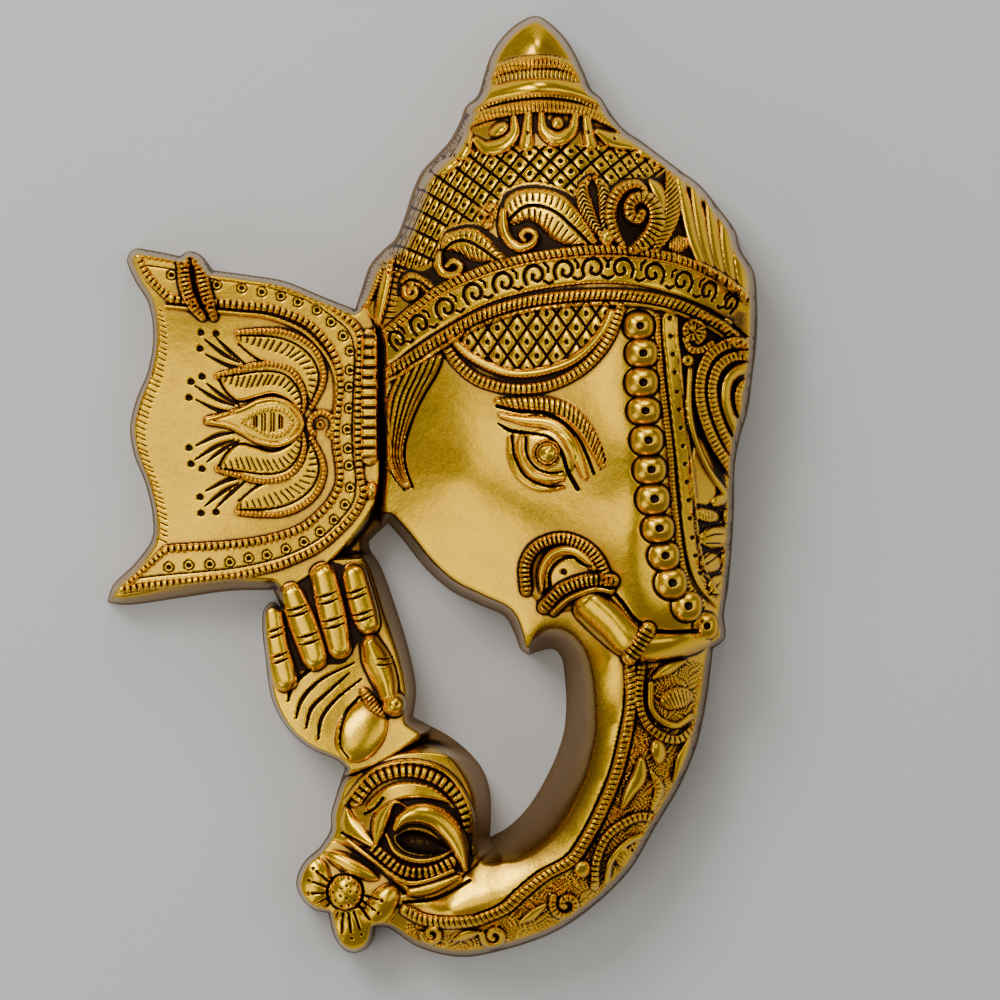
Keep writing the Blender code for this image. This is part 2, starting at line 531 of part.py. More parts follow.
def carve_curl(sheet):
    """The ribbed coil of the trunk's tip round its sweet, the blade beside it and the flower."""
    sheet.cord([(356, 800, 5), (369, 783, 6), (385, 773, 6), (405, 769, 6), (423, 771, 6), (441, 779, 6),
                (456, 793, 6), (465, 810, 6), (469, 826, 5)], 6, 11)
    sheet.patch([(366, 806), (378, 790), (396, 780), (420, 780), (440, 788), (452, 802), (440, 800), (420, 797),
                 (396, 801), (384, 812)], 6, 4)
    sheet.cord([(396, 826, 4), (404, 816, 8), (420, 811, 11), (438, 816, 12), (452, 830, 12), (461, 848, 9),
                (465, 866, 3)], 12, 17)
    sheet.patch([(396, 832), (410, 824), (426, 827), (442, 838), (450, 848), (436, 851), (418, 852), (404, 846)], -9, 6)
    sheet.cord([(372, 843, 5), (388, 857, 7), (402, 867, 7), (419, 870, 7), (436, 867, 7), (452, 859, 5)], 7, 12)
    sheet.cord([(415, 810, 2), (396, 800, 3), (384, 813, 8), (379, 828, 7), (377, 842, 3)], 8, 14)
    sheet.cord([(347, 808, 4), (350, 822, 9), (360, 834, 9), (374, 843, 4)], 9, 8)
    for x, y, long, wide, turn in ((315, 881, 27, 17, 90), (351, 926, 23, 23, 90), (382, 903, 25, 14, 55),
                                   (353, 864, 30, 9, -26)):
        sheet.lobe(x, y, long, wide, turn, 12)
    sheet.settle()
    sheet.lobe(346, 890, 20, 17, 90, 14)


def front_sheet():
    """The whole front, as heights over the back."""
    sheet = Sheet(STEP)
    sheet.form(EAR_EDGE, EAR_TOP, EAR_SIDE)
    sheet.form(HAND_EDGE, HAND_TOP, HAND_SIDE)
    sheet.form(HEAD_EDGE, HEAD_TOP, HEAD_SIDE)
    sheet.form(FLOWER_EDGE, FLOWER_TOP, FLOWER_SIDE)
    sheet.form(CURL_EDGE, CURL_TOP, CURL_SIDE)
    for carve in (carve_crown, carve_band, carve_face, carve_tusk, carve_ear, carve_hand, carve_trunk, carve_curl):
        sheet.settle()
        carve(sheet)
    sheet.cut_to(OUTLINE, outwards=True)
    sheet.cut_to(WINDOW, outwards=False)
    return sheet


def hollow_heights(heights, spacing):
    """Heights of the hollow's roof: the front, moved a whole wall inwards. All in millimetres."""
    roof = np.full_like(heights, np.inf)
    cells = int(WALL // spacing)
    wide = np.pad(heights, cells, constant_values=-WALL)
    for j in range(-cells, cells + 1):
        for i in range(-cells, cells + 1):
            gap = math.hypot(i, j) * spacing
            if gap > WALL:
                continue
            moved = wide[cells + j : cells + j + heights.shape[0], cells + i : cells + i + heights.shape[1]]
            roof = np.minimum(roof, moved - math.sqrt(WALL**2 - gap**2))
    return roof


def sheet_mesh(xs, ys, heights, triangles):
    """A grid bent to the heights, thinned to about a number of triangles and cut off at the back's plane."""
    bpy.ops.mesh.primitive_grid_add(x_subdivisions=len(xs) - 1, y_subdivisions=len(ys) - 1, size=1.0)
    made = bpy.context.object
    across, up = np.meshgrid(xs, ys)
    places = np.stack([across, up, heights], axis=-1) * METRES
    made.data.vertices.foreach_set("co", places.ravel())
    thin = made.modifiers.new("Thin", "DECIMATE")
    thin.ratio = triangles / (2 * (len(xs) - 1) * (len(ys) - 1))
    graph = bpy.context.evaluated_depsgraph_get()
    form = bmesh.new()
    form.from_object(made, graph)
    bpy.data.objects.remove(made)
    everything = form.verts[:] + form.edges[:] + form.faces[:]
    bmesh.ops.bisect_plane(
        form, geom=everything, plane_co=(0, 0, 0), plane_no=(0, 0, 1), clear_inner=True, dist=1e-7
    )
    bmesh.ops.triangulate(form, faces=form.faces)
    return form


def drop_specks(form):
    """Keeps only the largest connected sheet."""
    unseen = set(form.verts)
    groups = []
    while unseen:
        group, edge = set(), [unseen.pop()]
        while edge:
            vertex = edge.pop()
            group.add(vertex)
            for link in vertex.link_edges:
                other = link.other_vert(vertex)
                if other in unseen:
                    unseen.discard(other)
                    edge.append(other)
        groups.append(group)
    groups.sort(key=len)
    for group in groups[:-1]:
        bmesh.ops.delete(form, geom=list(group), context="VERTS")


def join_sheets(front, hollow):
    """The front and the turned-over hollow, joined by the flat rim between their edges."""
    bmesh.ops.reverse_faces(hollow, faces=hollow.faces)
    scrap = bpy.data.meshes.new("hollow")
    hollow.to_mesh(scrap)
    front.from_mesh(scrap)
    bpy.data.meshes.remove(scrap)
    edges = [edge for edge in front.edges if edge.is_boundary]
    bmesh.ops.triangle_fill(front, edges=edges, use_beauty=True, use_dissolve=False, normal=(0, 0, -1))
    return front


def row_reach(sheet, y, scale):
    """Where a line across the sheet enters and leaves the front, in millimetres."""
    line = sheet.z[np.searchsorted(sheet.ys, y)]
    held = sheet.xs[line > 0] * scale
    return held.min(), held.max()


def strap_bar(rows, collection):
    """A flat bar whose slanted ends lie in the wall, from the height and reach of its two long edges."""
    bpy.ops.mesh.primitive_cube_add(size=1.0)
    made = bpy.context.object
    made.name = "strap"
    for vertex in made.data.vertices:
        right, up, front = (value > 0 for value in vertex.co)
        y, reach = rows[up]
        vertex.co = (reach[right] * METRES, y * METRES, front * STRAP_THICKNESS * METRES)
    hide_tool(made, collection)
    return made


def hide_tool(made, collection):
    """Puts a tool in its collection and keeps it out of the part."""
    for holder in list(made.users_collection):
        holder.objects.unlink(made)
    collection.objects.link(made)
    made.hide_render = True
    made.display_type = "WIRE"


def brass():
    """The cast brass."""
    material = bpy.data.materials.new("brass")
    material.use_nodes = True
    shader = material.node_tree.nodes["Principled BSDF"]
    shader.inputs["Base Color"].default_value = (*BRASS, 1.0)
    shader.inputs["Metallic"].default_value = 1.0
    shader.inputs["Roughness"].default_value = BRASS_ROUGHNESS
    return material


def main():
    """Builds the mask."""
    clear_scene()
    scene = bpy.context.scene
    parts = bpy.data.collections.new("ganesha mask")
    tools = bpy.data.collections.new("tools")
    scene.collection.children.link(parts)
    scene.collection.children.link(tools)

    across = HEIGHT / DRAWN_HEIGHT
    sheet = front_sheet()
    heights = sheet.z * DEPTH / sheet.z.max()
    xs, ys = sheet.xs * across, sheet.ys * across
    front = sheet_mesh(xs, ys, heights, FRONT_TRIANGLES)
    drop_specks(front)
    roof = hollow_heights(np.where(heights > 0, heights, -WALL), xs[1] - xs[0])
    hollow = sheet_mesh(xs[::2], ys[::2], roof[::2, ::2], HOLLOW_TRIANGLES)
    drop_specks(hollow)
    form = join_sheets(front, hollow)
    low = np.min([vertex.co[:] for vertex in form.verts], axis=0)
    high = np.max([vertex.co[:] for vertex in form.verts], axis=0)
    middle = (low + high) / 2 / METRES
    bmesh.ops.translate(form, verts=form.verts, vec=(-middle[0] * METRES, -middle[1] * METRES, 0.0))

    mesh = bpy.data.meshes.new("ganesha_mask")
    form.to_mesh(mesh)
    form.free()
    hollow.free()
    mask = bpy.data.objects.new("ganesha_mask", mesh)
    mask.data.materials.append(brass())
    parts.objects.link(mask)

    strap_y = (MIDDLE[1] - STRAP_ROW) * across
    rows = []
    for y in (strap_y - STRAP_WIDTH / 2, strap_y + STRAP_WIDTH / 2):
        left, right = row_reach(sheet, y / across, across)
        rows.append((y - middle[1], (left - middle[0] + SUNK * WALL, right - middle[0] - SUNK * WALL)))
    strap = strap_bar(rows, tools)
    bpy.ops.mesh.primitive_cylinder_add(
        vertices=NAIL_HOLE_FACETS,
        radius=NAIL_HOLE_RADIUS * METRES,
        depth=4 * STRAP_THICKNESS * METRES,
        location=(
            ((STRAP_COLUMN - MIDDLE[0]) * across - middle[0]) * METRES,
            (strap_y - middle[1] + STRAP_WIDTH / 2 - NAIL_HOLE_EDGE - NAIL_HOLE_RADIUS) * METRES,
            0.0,
        ),
    )
    nail = bpy.context.object
    nail.name = "nail_hole"
    hide_tool(nail, tools)
    for name, tool, operation in (("Strap", strap, "UNION"), ("Nail hole", nail, "DIFFERENCE")):
        change = mask.modifiers.new(name, "BOOLEAN")
        change.operation = operation
        change.object = tool


main()
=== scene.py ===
"""Dresses the brass ganesha mask: one casting, chased, polished and darkened in its recesses.

The front is a relief. A drawing of the mask, in units of which it is 941 tall with x to the right
and y down, gives the main forms and every cord, leaf, net and groove on them. The relief works out
the heights over the back from the drawing, and the casting's mesh takes them. What stands out in
the round, such as the beads, is modelled as pieces of their own that are sunk into the casting.
"""

from __future__ import annotations

import logging
import math
from collections.abc import Sequence
from dataclasses import dataclass, field
from enum import Enum

import bpy
import numpy as np
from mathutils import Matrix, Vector

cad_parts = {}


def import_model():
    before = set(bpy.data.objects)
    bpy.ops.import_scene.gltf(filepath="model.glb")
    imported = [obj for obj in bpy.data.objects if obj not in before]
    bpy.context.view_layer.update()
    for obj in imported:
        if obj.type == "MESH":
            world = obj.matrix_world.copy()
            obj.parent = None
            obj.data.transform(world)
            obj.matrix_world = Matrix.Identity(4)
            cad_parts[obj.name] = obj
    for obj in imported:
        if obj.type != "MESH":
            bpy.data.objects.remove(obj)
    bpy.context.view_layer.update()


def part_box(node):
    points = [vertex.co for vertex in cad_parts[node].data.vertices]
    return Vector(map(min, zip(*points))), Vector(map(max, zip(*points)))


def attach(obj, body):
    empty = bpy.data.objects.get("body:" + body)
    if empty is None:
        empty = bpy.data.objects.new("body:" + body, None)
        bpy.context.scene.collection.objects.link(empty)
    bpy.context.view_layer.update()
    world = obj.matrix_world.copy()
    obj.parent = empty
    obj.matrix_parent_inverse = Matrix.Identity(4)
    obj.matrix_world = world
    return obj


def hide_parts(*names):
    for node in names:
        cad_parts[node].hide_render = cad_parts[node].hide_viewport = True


LOG = logging.getLogger("ganesha_mask")

NODE = "ganesha_mask"
BODY = "root"

MIDDLE = (432.0, 486.5)
IMAGE_WIDTH = 1000.0
FLOOR = 20.0
SPACING = 1.5
SPARE = 0.3
CARVING_STARTS = 0.4
CUT_REACH = 60.0
CUT_DEEPEST = 0.7
BEYOND_TOP = 3 * FLOOR
SMOOTHED_FROM = -5.0
FINEST_CORD = 0.5
FINEST_GROOVE = 0.6
GROOVE_INK = 1.6
NET_INK = 1.8
PUNCH_INK = 2.2
BOSS_POWER = 2.4
HOLE_DEPTH = 2.5
BEVEL_POWER = 0.6
PILLOW_REACH = 0.62
PILLOW_RISE = 0.6
ATTRIBUTES = ("fine_recess", "broad_recess", "ink", "side", "outside")
MM = 0.001

Points = Sequence[tuple[float, ...]]
Block = tuple[slice, slice]


class Profile(Enum):
    """The section of a moulding, as the power of its falling away from the middle."""

    ROUND = 2
    BROAD = 3
    RIBBED = 4
    FLAT = 8


OUTLINE: Points = [
    (537, 16, 10), (558, 30, 10), (572, 48, 10), (583, 70, 9), (592, 90, 9), (601, 98, 8), (612, 115, 9),
    (625, 130, 9), (640, 140, 10), (660, 155, 10), (680, 170, 10), (700, 185, 10), (722, 212, 10),
    (735, 230, 10), (741, 250, 10), (754, 272, 10), (757, 300, 10), (757, 335, 10), (752, 380, 9),
    (748, 410, 9), (740, 437, 9), (735, 465, 8), (734, 510, 8), (731, 560, 8), (728, 590, 8),
    (724, 614, 8), (725, 638, 8), (713, 649, 8), (713, 649, 8), (711, 668, 9), (708, 692, 9),
    (703, 720, 9), (697, 745, 9), (680, 786, 9), (655, 828, 9), (630, 870, 9), (595, 905, 9),
    (555, 932, 9), (500, 951, 9), (460, 957, 9), (418, 947, 8), (388, 928, 7), (376, 927, 6),
    (376, 927, 6), (373, 939, 6), (366, 949, 6), (354, 953, 6), (342, 948, 6), (334, 936, 6),
    (328, 913, 6), (328, 913, 6), (315, 910, 6), (302, 899, 6), (296, 883, 6), (303, 863, 6),
    (320, 847, 6), (320, 847, 6), (330, 830, 7), (331, 813, 7), (336, 795, 7), (345, 768, 7),
    (345, 768, 7), (338, 761, 6), (310, 748, 6), (288, 729, 6), (272, 700, 6), (265, 655, 6),
    (262, 626, 6), (264, 609, 5), (272, 602, 5), (281, 607, 5), (281, 607, 5), (273, 590, 12),
    (273, 590, 12), (230, 591, 14), (180, 598, 14), (125, 605, 10), (107, 602, 8), (107, 602, 8),
    (113, 585, 8), (135, 563, 8), (152, 538, 8), (152, 513, 8), (145, 483, 8), (134, 455, 8),
    (130, 428, 8), (136, 400, 8), (148, 370, 8), (153, 335, 8), (148, 303, 8), (135, 281, 8),
    (127, 259, 8), (134, 249, 8), (150, 250, 8), (180, 256, 8), (180, 256, 8), (189, 251, 8),
    (201, 255, 8), (213, 270, 8), (213, 270, 8), (250, 275, 8), (285, 281, 8), (322, 296, 8),
    (355, 309, 8), (355, 309, 8), (361, 291, 12), (370, 265, 14), (384, 249, 16), (395, 239, 18),
    (404, 218, 18), (413, 190, 18), (422, 171, 18), (435, 157, 18), (450, 140, 18), (460, 121, 16),
    (466, 106, 14), (477, 96, 12), (484, 75, 11), (490, 57, 10), (500, 40, 10), (518, 23, 10),
]
WINDOW: Points = [
    (388, 523, 12), (388, 523, 12), (402, 539, 12), (425, 568, 12), (450, 590, 12), (480, 605, 12),
    (505, 617, 11), (515, 635, 9), (521, 650, 7), (529, 655, 8), (529, 655, 8), (540, 651, 20),
    (553, 649, 25), (561, 657, 27), (565, 680, 30), (566, 710, 32), (563, 735, 34), (550, 770, 38),
    (528, 807, 40), (508, 827, 36), (490, 837, 28), (490, 837, 28), (491, 815, 22), (489, 787, 22),
    (480, 765, 22), (455, 740, 16), (425, 723, 12), (413, 717, 10), (413, 717, 10), (416, 690, 12),
    (410, 655, 13), (395, 605, 16), (380, 565, 14), (370, 549, 12), (369, 541, 12), (369, 541, 12),
]

# Each main form: its edge, and places (x, y, height) that its top is bent through.
EAR_EDGE: Points = [
    (80, 220), (230, 235), (310, 262), (366, 296), (381, 330), (384, 360), (384, 480), (376, 512),
    (334, 564), (290, 594), (250, 625), (80, 640),
]
EAR_TOP: Points = [
    (140, 262, 50), (190, 280, 58), (260, 300, 62), (330, 325, 66), (356, 400, 66), (352, 480, 66),
    (300, 545, 60), (200, 570, 54), (115, 597, 40), (160, 345, 46), (142, 430, 42), (155, 520, 44),
    (250, 420, 56), (210, 350, 52), (210, 500, 52), (300, 420, 61),
]
HEAD_EDGE: Points = [
    (400, 205), (374, 235), (350, 270), (348, 296), (364, 322), (376, 336), (378, 400), (380, 470),
    (378, 520), (440, 660), (520, 700), (536, 745), (490, 832), (462, 850), (430, 874), (384, 892),
    (366, 915), (366, 990), (640, 960), (760, 780), (800, 400), (780, 180), (640, 80), (600, -20),
    (480, -20), (430, 90), (380, 190),
]
HEAD_TOP: Points = [
    (537, 20, 52), (537, 45, 76), (500, 52, 56), (575, 55, 54), (540, 90, 92), (485, 95, 66),
    (592, 95, 64), (545, 132, 112), (458, 140, 72), (630, 142, 76), (500, 195, 126), (560, 190, 144),
    (425, 205, 86), (640, 195, 128), (708, 210, 76), (390, 262, 76), (392, 345, 90), (440, 300, 116),
    (520, 275, 146), (600, 268, 160), (680, 282, 142), (742, 310, 88), (395, 430, 86), (400, 500, 84),
    (440, 565, 92), (490, 594, 104), (530, 630, 112), (430, 420, 110), (460, 480, 124), (505, 420, 138),
    (520, 510, 142), (565, 460, 156), (560, 560, 146), (605, 500, 166), (570, 350, 158), (500, 350, 140),
    (640, 340, 170), (645, 440, 176), (655, 520, 168), (675, 585, 150), (700, 615, 126), (735, 360, 92),
    (738, 420, 84), (722, 500, 84), (716, 580, 82), (690, 430, 140), (698, 520, 122), (600, 600, 152),
    (588, 655, 116), (608, 660, 138), (640, 664, 142), (680, 668, 112), (702, 670, 74), (590, 722, 110),
    (616, 722, 134), (640, 726, 130), (675, 730, 104), (696, 734, 64), (578, 768, 106), (605, 775, 128),
    (632, 784, 120), (660, 794, 92), (674, 800, 60), (558, 814, 102), (583, 828, 120), (606, 842, 112),
    (626, 854, 86), (638, 864, 56), (524, 850, 96), (548, 870, 112), (568, 888, 102), (584, 902, 78),
    (592, 908, 52), (480, 875, 90), (504, 896, 104), (514, 916, 92), (522, 932, 72), (526, 943, 48),
    (440, 892, 82), (450, 908, 94), (455, 926, 84), (460, 950, 46), (398, 906, 74), (400, 930, 56),
]
HAND_EDGE: Points = [
    (258, 596), (292, 572), (318, 556), (352, 552), (378, 552), (400, 570), (440, 690), (436, 724),
    (392, 762), (346, 778), (300, 770), (240, 720), (235, 620),
]
HAND_TOP: Points = [
    (275, 620, 58), (283, 690, 66), (305, 600, 60), (340, 590, 62), (362, 590, 62), (330, 660, 70),
    (300, 720, 74), (340, 740, 80), (350, 700, 72), (380, 650, 70), (390, 700, 78), (372, 745, 82),
]
CURL_EDGE: Points = [
    (338, 776), (362, 758), (400, 742), (450, 744), (500, 770), (512, 830), (484, 868), (440, 897),
    (412, 902), (392, 888), (368, 868), (342, 852), (322, 844), (312, 828), (314, 800),
]
CURL_TOP: Points = [
    (345, 800, 66), (372, 780, 82), (400, 765, 88), (440, 772, 90), (466, 800, 88), (470, 850, 90),
    (440, 888, 92), (400, 890, 90), (350, 870, 78), (400, 830, 96), (430, 850, 96),
]
FLOWER_EDGE: Points = [
    (280, 866), (302, 838), (334, 834), (374, 852), (404, 880), (408, 905), (392, 925), (382, 962),
    (330, 966), (316, 925), (282, 914),
]
FLOWER_TOP: Points = [
    (300, 880, 58), (318, 882, 64), (345, 887, 70), (350, 925, 62), (352, 945, 54), (385, 900, 74),
    (335, 852, 66), (372, 866, 72),
]


def placed(points: Points) -> np.ndarray:
    """Moves points of the drawing to its middle and turns y upwards.

    Args:
        points: Points of the drawing, with any further numbers kept.

    Returns:
        One row for each point.
    """
    rows = np.array(points, float)
    rows[:, 0] -= MIDDLE[0]
    rows[:, 1] = MIDDLE[1] - rows[:, 1]
    return rows


def arc_lengths(path: np.ndarray) -> np.ndarray:
    """Measures a path.

    Args:
        path: The path's points.

    Returns:
        The length from the start to each point.
    """
    return np.concatenate([[0.0], np.cumsum(np.hypot(*np.diff(path[:, :2], axis=0).T))])


def run_through(knots: np.ndarray, closed: bool) -> np.ndarray:
    """Draws a centripetal Catmull-Rom curve.

    Args:
        knots: The points that the curve passes through.
        closed: Whether the curve returns to its start.

    Returns:
        Eight points for each stretch.
    """
    if len(knots) == 2 and not closed:
        return knots
    if closed:
        ring = np.vstack([knots[-1:], knots, knots[:2]])
    else:
        ring = np.vstack([2 * knots[:1] - knots[1:2], knots, 2 * knots[-1:] - knots[-2:-1]])
    share = np.linspace(0.0, 1.0, 8, endpoint=False)[:, None]
    line = []
    for i in range(1, len(ring) - 2):
        four = ring[i - 1 : i + 3]
        gaps = np.maximum(np.hypot(*np.diff(four[:, :2], axis=0).T) ** 0.5, 1e-4)
        t = np.concatenate([[0.0], np.cumsum(gaps)])
        at = t[1] + share * (t[2] - t[1])
        one = blend(four[0], four[1], t[0], t[1], at)
        two = blend(four[1], four[2], t[1], t[2], at)
        three = blend(four[2], four[3], t[2], t[3], at)
        lower = blend(one, two, t[0], t[2], at)
        upper = blend(two, three, t[1], t[3], at)
        line.append(blend(lower, upper, t[1], t[2], at))
    return np.vstack(line + [ring[len(ring) - 2 : len(ring) - 1]])


def blend(a: np.ndarray, b: np.ndarray, low: float, high: float, at: np.ndarray) -> np.ndarray:
    """Mixes two points linearly.

    Args:
        a: The point at low.
        b: The point at high.
        low: The start of the stretch.
        high: The end of the stretch.
        at: Where in the stretch to mix.

    Returns:
        The mixed points.
    """
    return a * (high - at) / (high - low) + b * (at - low) / (high - low)


def curve(points: Points, closed: bool = False, spacing: float = SPACING) -> np.ndarray:
    """Draws a smooth curve with evenly spaced places.

    Args:
        points: Points of the drawing. A point given twice is a corner.
        closed: Whether the curve returns to its start.
        spacing: The distance between places.

    Returns:
        The places, centred with y upwards.
    """
    knots = placed(points)
    same = np.all(np.isclose(knots, np.roll(knots, 1, axis=0)), axis=1)
    corners = [i for i in np.flatnonzero(same) if closed or i > 0]
    if closed and corners:
        knots = np.roll(knots, -corners[0], axis=0)
        knots = np.vstack([knots, knots[:1]])
        closed = False
    runs, start = [], 0
    for i in range(1, len(knots)):
        if np.allclose(knots[i], knots[i - 1]):
            runs.append(knots[start:i])
            start = i
    runs.append(knots[start:])
    drawn = [run_through(run, closed) for run in runs if len(run) > 1]
    line = np.vstack([drawn[0]] + [more[1:] for more in drawn[1:]])
    places = arc_lengths(line)
    even = np.linspace(0.0, places[-1], max(2, round(places[-1] / spacing)) + 1)
    return np.column_stack([np.interp(even, places, column) for column in line.T])


def spiral(x: float, y: float, inner: float, outer: float, start: float, turns: float) -> Points:
    """Draws a spiral from its outer end.

    Args:
        x: The centre's x in the drawing.
        y: The centre's y in the drawing.
        inner: The radius at the inner end.
        outer: The radius at the outer end.
        start: The angle of the outer end, in degrees, anticlockwise from the right.
        turns: How many turns it makes, below nought for clockwise.

    Returns:
        Points of the drawing.
    """
    points = []
    count = max(6, round(abs(turns) * 10))
    for i in range(count + 1):
        share = i / count
        radius = outer + (inner - outer) * share
        angle = math.radians(start + 360 * turns * share)
        points.append((x + radius * math.cos(angle), y - radius * math.sin(angle)))
    return points


def bent_sheet(stations: Points, x: np.ndarray, y: np.ndarray) -> np.ndarray:
    """Bends a thin sheet smoothly through known heights.

    Args:
        stations: Places of the drawing with their heights.
        x: Where the sheet is wanted, centred.
        y: The same, upwards.

    Returns:
        The sheet's heights.
    """
    known = placed(stations)

    def spring(gap_squared: np.ndarray) -> np.ndarray:
        """The pull of one station on another place."""
        return 0.5 * gap_squared * np.log(gap_squared + 1e-9)

    across = known[:, None, :2] - known[None, :, :2]
    count = len(known)
    system = np.zeros((count + 3, count + 3))
    system[:count, :count] = spring((across**2).sum(-1))
    system[:count, count] = system[count, :count] = 1.0
    system[:count, count + 1 :] = known[:, :2]
    system[count + 1 :, :count] = known[:, :2].T
    pull = np.linalg.solve(system, np.concatenate([known[:, 2], np.zeros(3)]))
    heights = pull[count] + pull[count + 1] * x + pull[count + 2] * y
    for (px, py, _), strength in zip(known, pull):
        heights = heights + strength * spring((x - px) ** 2 + (y - py) ** 2)
    return heights


class Relief:
    """Heights over the back on an even grid, with the chasing tools that shape them."""

    def __init__(self, step: float, half_width: float = 345.0, half_height: float = 490.0) -> None:
        """Lays out the grid.

        Args:
            step: The grid's spacing.
            half_width: How far it reaches left and right of the middle.
            half_height: How far it reaches above and below the middle.
        """
        self.step = step
        self.xs = np.arange(-half_width, half_width + step, step)
        self.ys = np.arange(-half_height, half_height + step, step)
        shape = (len(self.ys), len(self.xs))
        self.z = np.full(shape, FLOOR)
        self.ink = np.zeros(shape)
        self.side = np.ones(shape)
        self.ground = self.z
        self.plain = self.z

    def block(self, low: Sequence[float], high: Sequence[float]) -> Block:
        """Finds the rows and columns between two corners."""
        rows = slice(*np.searchsorted(self.ys, (low[1], high[1])))
        cols = slice(*np.searchsorted(self.xs, (low[0], high[0])))
        return rows, cols

    def places(self, block: Block) -> tuple[np.ndarray, np.ndarray]:
        """Gives the centred places of a block, as one row across and one column up."""
        return self.xs[block[1]][None, :], self.ys[block[0]][:, None]

    def near(self, path: np.ndarray, reach: float) -> tuple[Block, np.ndarray, np.ndarray]:
        """Measures how the block round a path lies to it.

        Args:
            path: The path's places.
            reach: The greatest distance that matters.

        Returns:
            The block, the distance to the path, below nought on its right, and the place along it.
        """
        places = path[:, :2]
        block = self.block(places.min(0) - reach, places.max(0) + reach)
        x, y = self.xs[block[1]], self.ys[block[0]]
        best = np.full((len(y), len(x)), float(reach) ** 2)
        along = np.zeros_like(best)
        hand = np.ones_like(best)
        begun = 0.0
        for a, b in zip(places[:-1], places[1:]):
            edge = b - a
            length = math.hypot(*edge)
            if length == 0:
                continue
            r = slice(*np.searchsorted(y, (min(a[1], b[1]) - reach, max(a[1], b[1]) + reach)))
            c = slice(*np.searchsorted(x, (min(a[0], b[0]) - reach, max(a[0], b[0]) + reach)))
            dx, dy = x[c] - a[0], (y[r] - a[1])[:, None]
            share = np.clip((dx * edge[0] + dy * edge[1]) / length**2, 0.0, 1.0)
            gap = (dx - share * edge[0]) ** 2 + (dy - share * edge[1]) ** 2
            closer = gap < best[r, c]
            best[r, c] = np.where(closer, gap, best[r, c])
            along[r, c] = np.where(closer, begun + share * length, along[r, c])
            hand[r, c] = np.where(closer, np.sign(edge[0] * dy - edge[1] * dx), hand[r, c])
            begun += length
        return block, np.sqrt(best) * hand, along

    def inside(self, path: np.ndarray, block: Block = (slice(None), slice(None))) -> np.ndarray:
        """Finds which points of a block lie within a closed path."""
        x, y = self.xs[block[1]], self.ys[block[0]]
        within = np.zeros((len(y), len(x)), bool)
        for (ax, ay), (bx, by) in zip(path[:, :2], np.roll(path[:, :2], -1, axis=0)):
            if ay == by:
                continue
            r = slice(*np.searchsorted(y, (min(ay, by), max(ay, by))))
            crossing = ax + (bx - ax) * (y[r] - ay) / (by - ay)
            within[r] ^= x < crossing[:, None]
        return within

    def form(self, edge: Points, stations: Points, side: float) -> None:
        """Adds a main form, whose side rises from its edge to a bent sheet.

        Args:
            edge: The form's outline, wide of the mask's where that bounds it.
            stations: Places that the top is bent through.
            side: The width over which the side rises.
        """
        path = curve(edge, closed=True)
        block = self.block(path.min(0), path.max(0))
        top = np.maximum(bent_sheet(stations, *self.places(block)), FLOOR)
        beside, gap, _ = self.near(path, side)
        rise = np.full(self.z.shape, 1.0)
        rise[beside] = np.sin(0.5 * math.pi * np.abs(gap) / side)
        height = np.where(self.inside(path, block), top * rise[block], FLOOR)
        self.z[block] = np.maximum(self.z[block], height)

    def cut_to(self, outline: Points, outwards: bool, filed: float, belt: float) -> None:
        """Brings the heights down to the back along an outline, and below it beyond.

        The carving fades out towards the outline, so the filed side is smooth. The side's map rises
        to a third over the filed share and to one over the belt.

        Args:
            outline: The outline, with the width of the side at each point.
            outwards: Whether the metal lies within the outline.
            filed: The share of the side that is filed.
            belt: The share of the side, past the filed part, over which the tarnish and the painted shade of
                the slope fade.
        """
        path = curve(outline, closed=True)
        block, gap, along = self.near(path, CUT_REACH)
        width = np.interp(along, arc_lengths(path), path[:, 2])
        within = self.inside(path, block)
        signed = np.where(within == outwards, np.abs(gap), -np.abs(gap))
        share = np.full(self.z.shape, -1.0 if outwards else 1.0)
        share[self.inside(path)] = 1.0 if outwards else -1.0
        reached = np.clip(signed / width, -CUT_DEEPEST, 1)
        share[block] = np.sin(0.5 * math.pi * reached)
        side = np.ones(self.z.shape)
        worked = np.clip(signed / (width * filed), 0, 1)
        # Past the filed part the map climbs over the belt, which carries tarnish and painted shade.
        beyond = np.clip((signed - width * filed) / (width * belt), 0, 1)
        side[block] = worked / 3 + beyond * 2 / 3
        self.side = np.minimum(self.side, side)
        carved = np.ones(self.z.shape)
        carved[block] = np.clip(signed / (width * CARVING_STARTS), 0, 1)
        self.z = self.plain + (self.z - self.plain) * carved
        self.z, self.plain = (
            np.where(share > 0, heights * share, np.minimum(heights, BEYOND_TOP) * share)
            for heights in (self.z, self.plain)
        )

    def settle(self) -> None:
        """Takes the sheet as it stands for the ground that the next carving rises from."""
        self.ground = self.z.copy()

    def lift(self, block: Block, rise: np.ndarray, ink: np.ndarray | float = 0.0) -> None:
        """Raises a block over the ground, where that is higher than it stands.

        Args:
            block: The block's rows and columns.
            rise: The height over the ground.
            ink: How dark the raised surface is.
        """
        raised = self.ground[block] + rise
        higher = (rise > 0) & (raised >= self.z[block])
        self.z[block] = np.where(higher, raised, self.z[block])
        self.ink[block] = np.where(higher, ink, self.ink[block])

    def work(self, block: Block, change: np.ndarray, ink: np.ndarray) -> None:
        """Moves a block's heights by a change and inks the block at least so dark."""
        self.z[block] += change
        self.ink[block] = np.maximum(self.ink[block], np.clip(ink, 0, 1))

